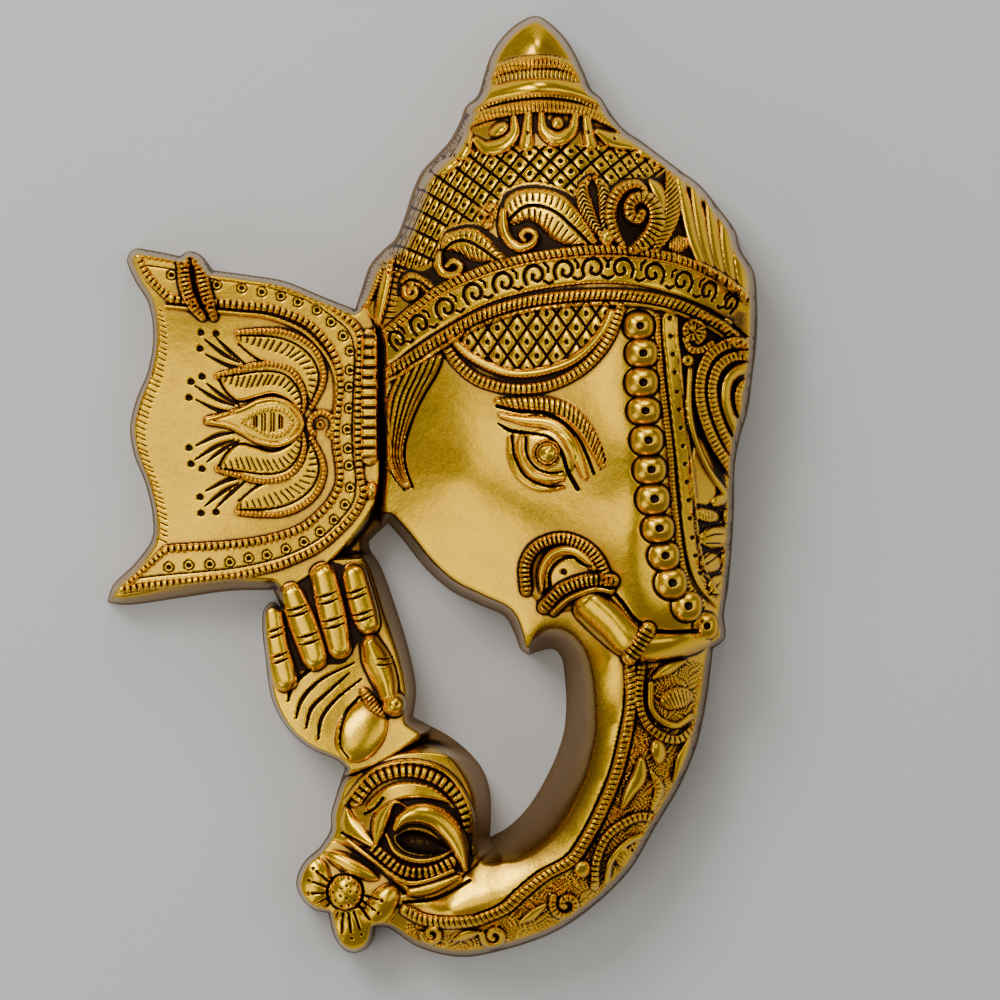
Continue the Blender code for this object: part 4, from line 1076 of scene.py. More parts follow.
def carve_tusk(relief: Relief) -> None:
    """Cuts the arched socket and lays the two ringed sleeves and the stub of the tusk over it."""
    relief.lobe(562, 576, 36, 34, 0, 8)
    arch = [(526, 590), (525, 564), (535, 547), (560, 538), (583, 545), (597, 559), (606, 580)]
    relief.cord(arch, 5.6, 18, ribs=4.6, cut=0.45)
    relief.cord([(541, 590, 3), (541, 570, 5), (551, 554, 6), (567, 549, 6), (583, 556, 6), (593, 568, 4)],
                6, 16)
    relief.groove([(543, 592), (549, 586), (549, 574), (556, 562), (572, 556), (580, 562), (590, 566)],
                  2.0, 5)
    relief.punch(563, 571, 3.4, 4)
    relief.settle()
    relief.cord([(590, 606, 18), (604, 619, 18.5), (627, 639, 17.5), (642, 645, 15.5), (662, 645, 13.5),
                 (690, 642, 11), (702, 640, 8)], 17, 18)
    relief.groove([(604, 583), (620, 600), (633, 617), (650, 628), (668, 631), (694, 630)], 2.2, 7)
    relief.cord([(544, 606), (558, 591), (574, 583), (592, 579), (611, 580)], 6.8, 21, ribs=4.8, cut=0.4)
    relief.cord([(553, 611), (566, 599), (580, 592), (596, 588), (610, 590)], 3.8, 20)
    relief.cord([(646, 629), (638, 643), (629, 655)], 8.5, 26, ribs=5, cut=0.35)
    relief.groove([(516, 634), (522, 645), (528, 655)], 1.8, 4)


def carve_ear(relief: Relief) -> None:
    """Cuts the rim between its beaded borders, and the lotus with its stamens on the plate."""
    relief.patch(list(EAR_BORDER) + list(EAR_BORDER_IN)[::-1], 5, 4)
    for border in (EAR_BORDER, EAR_BORDER_IN):
        relief.cord(border, 4.2, 9, ribs=6.2, notch=1.4)
    relief.cord([(x - 4, y + 8) for x, y in EAR_BORDER_IN[:12]], 2.4, 5)
    relief.groove(between(EAR_BORDER, EAR_BORDER_IN, 0.26, 26), 1.0, 1.6)
    for x, y in EAR_DOTS:
        relief.boss(x, y, 5.6, 3)
        relief.ring(x, y, 5.0, 0.9, 1.6)
        relief.punch(x, y, 2.6, 3.5)
    relief.cord([(139, 258), (148, 276), (170, 298)], 4, 9, ribs=5.5, notch=1.2)
    relief.cord([(168, 549), (148, 566), (127, 585)], 4, 9, ribs=5.5, notch=1.2)
    edge = [(152, 304), (157, 335), (152, 372), (141, 402), (135, 428), (139, 454), (149, 482), (157, 513),
            (156, 540)]
    relief.hatch(edge, [(x + 11, y + 5) for x, y in edge], 44, 0.9, 2)
    relief.cord(edge, 2, 4)
    for side in (1, -1):
        for outer, inner in petals_beside(side):
            relief.patch(list(outer) + list(inner)[::-1], 4, 3)
            relief.cord(outer, 3, 8, ribs=4.2, notch=1.0, cut=0.4)
            relief.groove(between(outer, inner, 0.2), 1.3, 2.5)
            relief.hatch(between(outer, inner, 0.3), between(outer, inner, 0.62), 18, 0.9, 2)
            relief.groove(inner, 1.3, 3)
    relief.patch([(206, 421), (206, 421), (230, 413), (260, 401), (276, 399), (291, 404), (303, 423),
                  (293, 441), (277, 446), (258, 442), (230, 427)], 7, 4)
    relief.cord([(208, 420), (230, 414), (245, 409), (260, 402), (275, 400), (290, 405), (300, 415),
                 (303, 425)], 3, 9)
    relief.cord([(208, 422), (230, 426), (245, 433), (260, 442), (277, 445), (292, 440), (301, 431),
                 (303, 423)], 3, 9)
    relief.cord([(243, 421), (256, 414), (272, 409), (286, 412), (293, 422), (286, 433), (272, 436),
                 (256, 429), (243, 422)], 2.4, 9, ribs=4.2, notch=1.0, cut=0.4)
    relief.hatch([(252, 419), (270, 413), (286, 418)], [(252, 425), (270, 432), (286, 427)], 8, 0.9, 2.2)
    relief.cord(spiral(322, 425, 12, 12, -130, -0.78), 3.2, 7, ribs=4.2, notch=1.0, cut=0.4)
    relief.boss(321, 425, 5, 5, hole=2.4)
    for strokes, dots in STAMENS:
        for (ax, ay), (bx, by) in strokes:
            for way in (1, -1):
                bend = ((ax + bx) / 2 + 3, mirrored((ay + by) / 2 + 4, way), 2.6)
                relief.groove([(ax, mirrored(ay, way), 0.9), bend, (bx, mirrored(by, way), 0.9)], 2.6, 3)
        for x, y in dots:
            for way in (1, -1):
                relief.punch(x, mirrored(y, way), 3.6, 4)


def mirrored(y: float, way: int) -> float:
    """Keeps a height of the drawing, or with way below nought mirrors it in the ear's axis."""
    return y if way > 0 else 2 * EAR_AXIS - y


def petals_beside(way: int) -> list[tuple[Points, Points]]:
    """Gives the outer and inner edges of the two petals on one side of the ear's lotus."""
    upper = (
        ([(238, 334), (260, 332), (280, 332), (297, 337), (315, 350), (324, 370), (323, 385), (312, 407)],
         [(240, 345), (262, 362), (280, 367), (294, 372), (303, 384), (308, 398)]),
        ([(218, 377), (240, 370), (260, 365), (275, 365), (290, 370), (300, 382), (305, 400), (303, 412)],
         [(220, 380), (228, 393), (240, 402), (256, 399), (274, 395), (290, 402), (300, 413)]),
    )
    return [
        ([(x, mirrored(y, way)) for x, y in outer], [(x, mirrored(y, way)) for x, y in inner])
        for outer, inner in upper
    ]


def carve_hand(relief: Relief) -> None:
    """Cuts the four fingers with their paired creases, the thumb, the pad and the folds of the palm."""
    relief.darken([(282, 626), (282, 604), (300, 582), (316, 570), (336, 561), (346, 566), (368, 584),
                   (378, 612), (374, 626), (362, 636), (354, 650), (344, 663), (330, 664), (316, 668),
                   (302, 674), (290, 682)])
    for points, creases in (
        ([(273, 613, 11), (277, 645, 13), (283, 668, 14), (286, 678, 13)],
         ((274, 629), (275, 635), (279, 654), (280, 660))),
        ([(293, 595, 13), (303, 622, 15), (312, 646, 15), (315, 656, 14)],
         ((298, 607), (300, 613), (309, 634), (311, 641))),
        ([(324, 576, 14), (331, 606, 15), (338, 636, 14), (340, 646, 13)],
         ((327, 594), (329, 601), (334, 618), (336, 625))),
        ([(355, 575, 13), (361, 598, 14), (366, 616, 14), (368, 622, 13)],
         ((356, 590), (357, 596), (363, 612), (364, 618))),
    ):
        relief.cord(points, 13, 17, Profile.BROAD)
        for x, y in creases:
            relief.groove([(x - 11, y + 3, 0.7), (x, y + 1, 1.7), (x + 10, y - 3, 0.7)], 1.9, 3.5)
    relief.lobe(362, 730, 33, 24, 62, 12)
    relief.cord([(371, 643, 10), (376, 656, 14), (382, 670, 14), (387, 684, 12), (389, 694, 10)], 12, 22)
    relief.boss(395, 703, 12.5, 28)
    for y in (658, 664):
        relief.groove([(378, y, 0.7), (386, y, 1.6), (393, y - 2, 0.7)], 1.5, 3)
    for points in (
        [(289, 700), (293, 685), (312, 668)], [(297, 717), (302, 700), (320, 680), (355, 662)],
        [(307, 727), (312, 708), (330, 690), (350, 672)], [(319, 738), (322, 718), (335, 700), (362, 678)],
        [(360, 696), (348, 710), (342, 728), (342, 745), (350, 757)],
    ):
        sized = [(x, y, half) for (x, y), half in zip(points, (1.2, 2.4, 2.0, 1.0, 0.8))]
        relief.groove(sized, 2.0, 4)
    relief.settle()
    relief.cord([(364, 690, 4), (372, 701, 7), (384, 712, 4)], 7, 9, ribs=3.8, notch=1.0, cut=0.4)
    relief.punch(398, 703, 2.6, 3)


def carve_trunk(relief: Relief) -> None:
    """Cuts the rope down the trunk, with the medallions and leaves on the stippled ground beside it."""
    relief.grain(
        [(636, 672), (705, 664), (706, 700), (700, 740), (684, 782), (660, 824), (632, 866), (596, 902),
         (556, 928), (500, 946), (460, 952), (412, 940), (406, 922), (450, 930), (490, 926), (516, 906),
         (548, 882), (578, 862), (600, 826), (616, 790), (630, 740), (636, 700)], 4.4, 2.0,
    )
    relief.cord(ROPE, 6, 10, ribs=5.4, slant=0.3, cut=0.4)
    relief.groove([(x - 6.5, y - 3.5) for x, y in ROPE[1:12]], 1.3, 3)
    relief.groove([(x + 6.5, y + 3.5) for x, y in ROPE[1:12]], 1.1, 2.5)
    for outer, inner in (
        ([(640, 663), (638, 700), (645, 721), (660, 734), (677, 738), (692, 728)],
         [(649, 682), (650, 706), (660, 719), (676, 724), (690, 715)]),
        ([(594, 884), (596, 857), (606, 834), (624, 820), (642, 814), (658, 819)],
         [(606, 880), (609, 861), (621, 845), (634, 836), (647, 834)]),
    ):
        relief.cord(outer, 4.6, 12, ribs=5.2, cut=0.45)
        relief.cord(inner, 3.4, 9)
    relief.lobe(675, 697, 17, 11, 10, 13)
    relief.hatch([(660, 697), (666, 690), (678, 688), (690, 692)],
                 [(668, 706), (674, 708), (682, 706), (690, 700)], 8, 1, 2.4)
    relief.cord([(652, 676, 2), (665, 668, 6), (683, 660, 2)], 6, 11)
    relief.lobe(657, 749, 13, 8, 100, 12)
    relief.cord([(640, 758, 4), (638, 774, 8), (628, 790, 6), (622, 804, 3)], 5, 11)
    relief.cord([(688, 738, 3), (683, 757, 8), (674, 778, 3)], 6, 12)
    relief.cord([(650, 770, 2), (658, 786, 5), (652, 806, 3)], 5, 7, ribs=4.6, cut=0.4)
    relief.lobe(626, 858, 15, 10, -50, 12)
    relief.hatch([(614, 864), (620, 852), (634, 846)], [(622, 868), (630, 862), (637, 854)], 6, 1, 2.2)
    relief.boss(582, 866, 9, 10)
    relief.cord(spiral(566, 902, 3, 15, 150, 1.2), 4, 11, ribs=4.6, cut=0.4)
    relief.cord(spiral(494, 934, 3, 12, 170, 1.2), 3.6, 10)
    relief.cord(spiral(432, 932, 3, 10, 180, 1.2), 3.2, 10)
    relief.cord([(520, 920, 2), (532, 912, 5), (545, 902, 2)], 5, 7)
    relief.cord([(455, 938, 2), (466, 933, 5), (478, 930, 2)], 5, 7)


def carve_curl(relief: Relief) -> None:
    """Cuts the ribbed coil of the trunk's tip round its sweet, and the blade and lobe at its left."""
    relief.cord([(346, 801), (356, 787), (374, 769), (409, 760), (444, 769), (466, 796), (474, 827),
                 (474, 850)], 2.6, 9)
    relief.cord([(356, 800), (369, 783), (385, 773), (405, 769), (423, 771), (441, 779), (456, 793),
                 (465, 810), (469, 826)], 6.2, 11, ribs=7, notch=1.9)
    relief.patch([(366, 806), (378, 790), (396, 780), (420, 780), (440, 788), (452, 802), (440, 800),
                  (420, 797), (396, 801), (384, 812)], 6, 4)
    relief.darken([(384, 822), (398, 800), (430, 796), (456, 808), (474, 838), (470, 868), (440, 866),
                   (408, 862), (380, 848)])
    relief.cord([(396, 826, 4), (404, 816, 8), (420, 811, 11), (438, 816, 12), (452, 830, 12), (461, 848, 9),
                 (465, 866, 3)], 12, 17)
    hollow = [(396, 836), (408, 828), (424, 829), (438, 836), (450, 848), (436, 852), (418, 852), (404, 847)]
    relief.patch(hollow, -9, 6)
    relief.darken(hollow)
    relief.cord([(387, 832, 2), (396, 849, 3.2), (416, 858, 3.4), (437, 856, 3), (451, 849, 1.5)], 3, 10)
    relief.cord([(372, 843), (388, 857), (402, 867), (419, 870), (436, 867), (452, 859)],
                6, 12, ribs=6, notch=1.7)
    relief.cord([(348, 838), (370, 855), (391, 871), (409, 880), (430, 877), (453, 868)], 2.8, 10)
    relief.cord([(415, 810, 1.5), (396, 800, 2), (384, 813, 8), (379, 828, 7), (377, 842, 2)], 8, 14)
    relief.cord([(347, 808, 3), (350, 822, 9), (360, 834, 9), (374, 843, 4)], 9, 8)
    relief.groove([(343, 831), (357, 838), (371, 846)], 1.6, 4)
    relief.groove([(366, 812), (376, 806), (384, 796)], 1.8, 5)
    relief.cord([(411, 890, 5), (432, 887, 8), (458, 876, 5)], 8, 7)
    relief.groove([(404, 900), (437, 896), (470, 878)], 1.8, 4)


def carve_flower(relief: Relief) -> None:
    """Cuts the petals of the small flower with their ridges and dots."""
    for x, y, long, wide, turn in (
        (315, 881, 27, 17, 90), (351, 926, 23, 23, 90), (382, 903, 25, 14, 55), (353, 864, 30, 9, -26),
    ):
        relief.lobe(x, y, long, wide, turn, 12)
    x, y = FLOWER_MIDDLE
    for low, high in ((150, 215), (248, 296), (318, 352)):
        for angle in range(low, high + 1, 16):
            turn = math.radians(angle)
            near = (x + 20 * math.cos(turn), y - 22 * math.sin(turn))
            far = (x + 33 * math.cos(turn), y - 41 * math.sin(turn))
            relief.groove([near, far], 1.6, 3)
            relief.punch(x + 37 * math.cos(turn), y - 47 * math.sin(turn), 2.0, 2.5)
    relief.settle()
    relief.lobe(x, y, 20, 17, 90, 14)
    relief.ring(x, y, 18, 1.6, 4)
    for reach, count in ((5.5, 5), (12, 10)):
        for i in range(count):
            angle = 2 * math.pi * i / count
            relief.punch(x + reach * math.cos(angle), y + 1.2 * reach * math.sin(angle), 1.6, 2)


def chased_front(step: float) -> Relief:
    """Works out the whole front.

    Args:
        step: The grid's spacing.

    Returns:
        The relief, cut to the outline and the window.
    """
    relief = Relief(step)
    relief.form(EAR_EDGE, EAR_TOP, 6)
    relief.form(HAND_EDGE, HAND_TOP, 8)
    relief.form(HEAD_EDGE, HEAD_TOP, 10)
    relief.form(FLOWER_EDGE, FLOWER_TOP, 6)
    relief.form(CURL_EDGE, CURL_TOP, 12)
    relief.plain = relief.z.copy()
    for carve in (
        carve_crown, carve_leaves, carve_band, carve_panel, carve_face, carve_ornament, carve_seats,
        carve_tusk, carve_ear, carve_binding, carve_hand, carve_trunk, carve_curl, carve_flower,
    ):
        relief.settle()
        carve(relief)
    relief.cut_to(OUTLINE, outwards=True, filed=0.25, belt=1.0)
    relief.cut_to(WINDOW, outwards=False, filed=0.85, belt=0.5)
    return relief


def carve_binding(relief: Relief) -> None:
    """Raises the two ribbed rings that bind the ear's upper rim."""
    for ring in (
        [(184, 252, 6), (185, 268, 7), (188, 290, 7), (195, 306, 6), (204, 318, 4)],
        [(196, 254, 6), (201, 268, 7), (205, 288, 7), (210, 304, 6), (215, 318, 4)],
    ):
        relief.cord(ring, 7, 17, ribs=4.4, cut=0.35)


@dataclass
class Placing:
    """How the drawing lies in the frame, in metres."""

    relief: Relief
    across: float = field(init=False)
    rise: float = field(init=False)
    shift: tuple[float, float] = field(init=False)

    def __post_init__(self) -> None:
        """Fits the outline and the highest bead to the solid's box."""
        low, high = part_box(NODE)
        path = curve(OUTLINE, closed=True)
        self.across = min((high[axis] - low[axis]) / (np.ptp(path[:, axis]) + SPARE) for axis in (0, 1))
        middle = (path.min(0) + path.max(0)) / 2
        self.shift = ((low[0] + high[0]) / 2 - middle[0] * self.across,
                      (low[1] + high[1]) / 2 - middle[1] * self.across)
        top = max(self.relief.z.max(), *(self.under(bead.x, bead.y) + bead.rise for bead in BEADS))
        self.rise = high[2] / top
        LOG.info("drawing unit: %.5f mm across, %.5f mm up", self.across / MM, self.rise / MM)

    def under(self, x: float, y: float) -> float:
        """Reads the relief's height at a point of the drawing."""
        place = np.array([x - MIDDLE[0]]), np.array([MIDDLE[1] - y])
        return float(sampled(self.relief, self.relief.z, *place)[0])

    def point(self, x: float, y: float, height: float) -> Vector:
        """Places a point of the drawing, at a height over the back, in the frame."""
        return Vector(((x - MIDDLE[0]) * self.across + self.shift[0],
                       (MIDDLE[1] - y) * self.across + self.shift[1], height * self.rise))


def sampled(relief: Relief, values: np.ndarray, x: np.ndarray, y: np.ndarray) -> np.ndarray:
    """Reads a map of the relief between its grid points.

    Args:
        relief: The relief whose grid the map has.
        values: The map.
        x: Centred places.
        y: The same, upwards.

    Returns:
        The map's values there.
    """
    u = np.clip((x - relief.xs[0]) / relief.step, 0, len(relief.xs) - 1.001)
    v = np.clip((y - relief.ys[0]) / relief.step, 0, len(relief.ys) - 1.001)
    i, j = u.astype(int), v.astype(int)
    s, t = u - i, v - j
    low = values[j, i] * (1 - s) + values[j, i + 1] * s
    high = values[j + 1, i] * (1 - s) + values[j + 1, i + 1] * s
    return low * (1 - t) + high * t


def only(piece: bpy.types.Object) -> None:
    """Makes a piece the one selected and active object."""
    bpy.ops.object.select_all(action="DESELECT")
    piece.select_set(True)
    bpy.context.view_layer.objects.active = piece


def write_attribute(piece: bpy.types.Object, name: str, values: np.ndarray) -> None:
    """Stores one number for each vertex.

    Args:
        piece: The mesh object.
        name: The attribute's name.
        values: Its values.
    """
    layer = piece.data.attributes.new(name, "FLOAT", "POINT")
    layer.data.foreach_set("value", values.astype(np.float32))


def vertices_of(piece: bpy.types.Object) -> np.ndarray:
    """Reads a piece's vertices."""
    flat = np.empty(len(piece.data.vertices) * 3, np.float32)
    piece.data.vertices.foreach_get("co", flat)
    return flat.reshape(-1, 3).astype(float)


def dress(piece: bpy.types.Object, finish: bpy.types.Material) -> None:
    """Gives a piece its finish and its place in the frame."""
    piece.data.materials.clear()
    piece.data.materials.append(finish)
    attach(piece, BODY)
    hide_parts(NODE)
    LOG.info("%s: %d faces", piece.name, len(piece.data.polygons))


@dataclass
class Bead:
    """A round bead of the string beside the cheek."""

    x: float
    y: float
    wide: float
    tall: float
    rise: float = 14.0


BEADS = [
    Bead(637, 328, 30, 28), Bead(640, 355, 32, 29), Bead(640, 384, 33, 30), Bead(642, 412, 33, 28),
    Bead(645, 441, 33, 30), Bead(648, 470, 33, 29), Bead(651, 499, 34, 31), Bead(656, 528, 33, 28),
    Bead(662, 555, 32, 29), Bead(669, 582, 33, 32), Bead(685, 605, 31, 31), Bead(704, 625, 26, 28),
]


@dataclass
class Casting:
    """The hollow casting: a chased front, an even wall and a flat rim."""

    relief: Relief
    placing: Placing
    wall: float = 4.0 * MM
    sections: int = 5
    hollow_triangles: int = 9000
    smooth_angle: float = math.radians(60)
    fine_radius: float = 2.4
    broad_radius: float = 7.0

    def build(self) -> list[bpy.types.Object]:
        """Makes the casting.

        Returns:
            Its sections, from the foot to the crown, each a closed mesh object.
        """
        relief, placing = self.relief, self.placing
        heights = relief.z * placing.rise
        front = self.sheet("casting", relief.xs, relief.ys, heights)
        self.paint(front, outside=True)
        roof = self.roof(np.where(heights > 0, heights, -self.wall)[::2, ::2],
                         2 * relief.step * placing.across)
        hollow = self.sheet("hollow", relief.xs[::2], relief.ys[::2], roof, self.hollow_triangles)
        self.paint(hollow, outside=False)
        only(hollow)
        bpy.ops.object.mode_set(mode="EDIT")
        bpy.ops.mesh.select_all(action="SELECT")
        bpy.ops.mesh.flip_normals()
        bpy.ops.object.mode_set(mode="OBJECT")
        only(front)
        hollow.select_set(True)
        bpy.ops.object.join()
        bpy.ops.object.mode_set(mode="EDIT")
        bpy.ops.mesh.select_all(action="DESELECT")
        bpy.ops.mesh.select_mode(type="EDGE")
        bpy.ops.mesh.select_non_manifold(
            extend=False, use_wire=False, use_boundary=True, use_multi_face=False, use_non_contiguous=False,
            use_verts=False,
        )
        bpy.ops.mesh.fill(use_beauty=False)
        bpy.ops.mesh.select_all(action="SELECT")
        bpy.ops.mesh.normals_make_consistent(inside=False)
        bpy.ops.object.mode_set(mode="OBJECT")
        return self.sectioned(front)

    def sectioned(self, casting: bpy.types.Object) -> list[bpy.types.Object]:
        """Parts the casting across into closed sections of about equal numbers of faces.

        Args:
            casting: The whole casting.

        Returns:
            The sections, from the foot up.
        """
        shares = [i / self.sections for i in range(1, self.sections)]
        levels = np.quantile(vertices_of(casting)[:, 1], shares)
        sections = []
        for level in levels:
            only(casting)
            bpy.ops.object.duplicate()
            lower = bpy.context.object
            self.keep_one_side(lower, float(level), upper=False)
            self.keep_one_side(casting, float(level), upper=True)
            sections.append(lower)
        sections.append(casting)
        for i, section in enumerate(sections):
            section.name = f"casting_{i + 1}"
            only(section)
            bpy.ops.object.shade_smooth_by_angle(angle=self.smooth_angle)
        return sections

    @staticmethod
    def keep_one_side(piece: bpy.types.Object, level: float, upper: bool) -> None:
        """Cuts a piece at a level of Y, keeps one side of it and closes the cut."""
        only(piece)
        bpy.ops.object.mode_set(mode="EDIT")
        bpy.ops.mesh.select_all(action="SELECT")
        bpy.ops.mesh.bisect(
            plane_co=(0, level, 0), plane_no=(0, 1, 0), use_fill=True, clear_inner=upper,
            clear_outer=not upper, threshold=1e-7,
        )
        bpy.ops.object.mode_set(mode="OBJECT")

    def sheet(
        self, name: str, xs: np.ndarray, ys: np.ndarray, heights: np.ndarray, triangles: int = 0
    ) -> bpy.types.Object:
        """Bends a grid to heights and cuts it off at the back's plane.

        Args:
            name: The object's name.
            xs: The grid's columns, centred.
            ys: The grid's rows.
            heights: The heights, in metres.
            triangles: About how many triangles it keeps, or nought for all.

        Returns:
            An open sheet.
        """
        bpy.ops.mesh.primitive_grid_add(x_subdivisions=len(xs) - 1, y_subdivisions=len(ys) - 1, size=1.0)
        made = bpy.context.object
        made.name = name
        across, up = np.meshgrid(xs * self.placing.across + self.placing.shift[0],
                                 ys * self.placing.across + self.placing.shift[1])
        made.data.vertices.foreach_set("co", np.stack([across, up, heights], axis=-1).ravel())
        held = heights > 0
        for _ in range(2):
            for axis in (0, 1):
                held = held | np.roll(held, 1, axis=axis) | np.roll(held, -1, axis=axis)
        self.delete_vertices(made, ~held.ravel())
        if triangles:
            thin = made.modifiers.new("Thin", "DECIMATE")
            thin.ratio = min(1.0, triangles / (2 * len(made.data.polygons)))
            bpy.ops.object.modifier_apply(modifier=thin.name)
        bpy.ops.object.mode_set(mode="EDIT")
        bpy.ops.mesh.select_all(action="SELECT")
        bpy.ops.mesh.bisect(plane_co=(0, 0, 0), plane_no=(0, 0, 1), clear_inner=True, threshold=1e-7)
        bpy.ops.mesh.select_all(action="SELECT")
        bpy.ops.mesh.quads_convert_to_tris()
        bpy.ops.object.mode_set(mode="OBJECT")
        self.drop_specks(made)
        return made

    @staticmethod
    def delete_vertices(piece: bpy.types.Object, chosen: np.ndarray) -> None:
        """Deletes the chosen vertices of a piece."""
        only(piece)
        bpy.context.tool_settings.mesh_select_mode = (True, False, False)
        mesh = piece.data
        mesh.polygons.foreach_set("select", np.zeros(len(mesh.polygons), bool))
        mesh.edges.foreach_set("select", np.zeros(len(mesh.edges), bool))
        mesh.vertices.foreach_set("select", chosen)
        bpy.ops.object.mode_set(mode="EDIT")
        bpy.ops.mesh.delete(type="VERT")
        bpy.ops.object.mode_set(mode="OBJECT")

    def drop_specks(self, piece: bpy.types.Object) -> None:
        """Keeps only the largest connected sheet."""
        count = len(piece.data.vertices)
        edges = np.empty(len(piece.data.edges) * 2, np.int32)
        piece.data.edges.foreach_get("vertices", edges)
        a, b = edges.reshape(-1, 2).T
        group = np.arange(count)
        while True:
            low = np.minimum(group[a], group[b])
            before = group.copy()
            np.minimum.at(group, a, low)
            np.minimum.at(group, b, low)
            group = group[group]
            if np.array_equal(before, group):
                break
        names, sizes = np.unique(group, return_counts=True)
        self.delete_vertices(piece, group != names[sizes.argmax()])

    def roof(self, heights: np.ndarray, spacing: float) -> np.ndarray:
        """Moves the front a whole wall inwards.

        Args:
            heights: The front's heights, in metres.
            spacing: The grid's spacing, in metres.

        Returns:
            The hollow's heights.
        """
        roof = np.full_like(heights, np.inf)
        cells = int(self.wall // spacing)
        wide = np.pad(heights, cells, constant_values=-self.wall)
        rows, cols = heights.shape
        for j in range(-cells, cells + 1):
            for i in range(-cells, cells + 1):
                gap = math.hypot(i, j) * spacing
                if gap <= self.wall:
                    moved = wide[cells + j : cells + j + rows, cells + i : cells + i + cols]
                    roof = np.minimum(roof, moved - math.sqrt(self.wall**2 - gap**2))
        return roof

    def paint(self, piece: bpy.types.Object, outside: bool) -> None:
        """Stores at each vertex how deep it lies, how dark it was inked and how far up the side it is."""
        relief, placing = self.relief, self.placing
        places = vertices_of(piece)
        x = (places[:, 0] - placing.shift[0]) / placing.across
        y = (places[:, 1] - placing.shift[1]) / placing.across
        maps = {
            "fine_recess": relief.blurred(self.fine_radius) - relief.z,
            "broad_recess": relief.blurred(self.broad_radius) - relief.z,
            "ink": relief.ink,
            "side": relief.side,
        }
        for name, values in maps.items():
            read = sampled(relief, values, x, y) if outside else np.zeros(len(places))
            write_attribute(piece, name, read)
        write_attribute(piece, "outside", np.full(len(places), float(outside)))


@dataclass
class BeadString:
    """The string of twelve dimpled beads, each set into the casting."""

    placing: Placing
    beads: Sequence[Bead]
    half_height: float = 15.0
    squareness: float = 2.5
    dimple: float = 0.28
    dimple_right: float = 0.1
    dimple_depth: float = 0.34
    # Height on the unit ball below which lacquer and painted shade darken the bead's foot.
    foot: float = 0.6
    segments: int = 64

    def build(self) -> list[bpy.types.Object]:
        """Makes the beads and joins them.

        Returns:
            The string as one object of closed balls, in a list.
        """
        balls = [self.ball(bead) for bead in self.beads]
        only(balls[0])
        for ball in balls[1:]:
            ball.select_set(True)
        bpy.ops.object.join()
        string = bpy.context.object
        string.name = "bead_string"
        bpy.ops.object.shade_smooth()
        return [string]

    def ball(self, bead: Bead) -> bpy.types.Object:
        """Makes one rounded, squarish bead with its dimple, in place, darkened towards its foot with lacquer
        and painted shade.
        """
        bpy.ops.mesh.primitive_uv_sphere_add(segments=self.segments, ring_count=self.segments * 3 // 4,
                                             radius=1.0)
        ball = bpy.context.object
        form = vertices_of(ball)
        turn = np.arctan2(form[:, 1], form[:, 0])
        corner = (np.abs(np.cos(turn)) ** self.squareness + np.abs(np.sin(turn)) ** self.squareness)
        form[:, :2] *= corner[:, None] ** (-1 / self.squareness)
        top = form[:, 2] > 0
        reach = np.hypot(form[:, 0] - self.dimple_right, form[:, 1]) / self.dimple
        hollow = np.where(top, np.clip(1 - reach**2, 0, 1) ** 0.5, 0)
        # Lacquer and painted shade, darker towards the foot where the bead meets the casting.
        low = np.clip(self.foot - form[:, 2], 0, 1)
        form[:, 2] -= self.dimple_depth * hollow
        height = self.placing.under(bead.x, bead.y) + bead.rise - self.half_height
        middle = self.placing.point(bead.x, bead.y, height)
        scale = np.array([bead.wide / 2 * self.placing.across, bead.tall / 2 * self.placing.across,
                          self.half_height * self.placing.rise])
        ball.data.vertices.foreach_set("co", (form * scale + np.array(middle)).ravel())
        write_attribute(ball, "fine_recess", 2.5 * hollow)
        # The foot's lacquer and painted shade go into the recess and ink maps.
        write_attribute(ball, "broad_recess", 1.0 + 7.0 * low)
        write_attribute(ball, "ink", np.clip(hollow * 1.6 + 2.2 * low, 0, 1))
        for name in ("side", "outside"):
            write_attribute(ball, name, np.ones(len(form)))
        return ball


@dataclass
class Strap:
    """The flat strap across the hollow, with its nail hole."""

    relief: Relief
    placing: Placing
    row: float = 205.0
    column: float = 575.0
    width: float = 24.0 * MM
    thickness: float = 4.0 * MM
    sunk: float = 2.4 * MM
    nail_radius: float = 3.0 * MM
    nail_edge: float = 6.0 * MM

    def build(self) -> list[bpy.types.Object]:
        """Makes the strap.

        Returns:
            A closed bar whose ends lie in the wall, in a list.
        """
        bpy.ops.mesh.primitive_cube_add(size=1.0)
        bar = bpy.context.object
        bar.name = "strap"
        middle = self.placing.point(self.column, self.row, 0.0)
        for vertex in bar.data.vertices:
            right, up, front = (value > 0 for value in vertex.co)
            y = middle.y + self.width * (0.5 if up else -0.5)
            left_end, right_end = self.reach(y)
            vertex.co = (right_end - self.sunk if right else left_end + self.sunk, y, self.thickness * front)
        bpy.ops.mesh.primitive_cylinder_add(
            vertices=48, radius=self.nail_radius, depth=4 * self.thickness,
            location=(middle.x, middle.y + self.width / 2 - self.nail_edge - self.nail_radius, 0.0),
        )
        drill = bpy.context.object
        only(bar)
        cut = bar.modifiers.new("Nail hole", "BOOLEAN")
        cut.operation = "DIFFERENCE"
        cut.object = drill
        bpy.ops.object.modifier_apply(modifier=cut.name)
        bpy.data.objects.remove(drill)
        for name in ATTRIBUTES:
            write_attribute(bar, name, np.zeros(len(bar.data.vertices)))
        return [bar]

    def reach(self, y: float) -> tuple[float, float]:
        """Finds where a line across the mask enters and leaves it."""
        row = np.searchsorted(self.relief.ys, (y - self.placing.shift[1]) / self.placing.across)
        held = self.relief.xs[self.relief.z[row] > 0] * self.placing.across + self.placing.shift[0]
        return float(held.min()), float(held.max())


Socket = bpy.types.NodeSocket


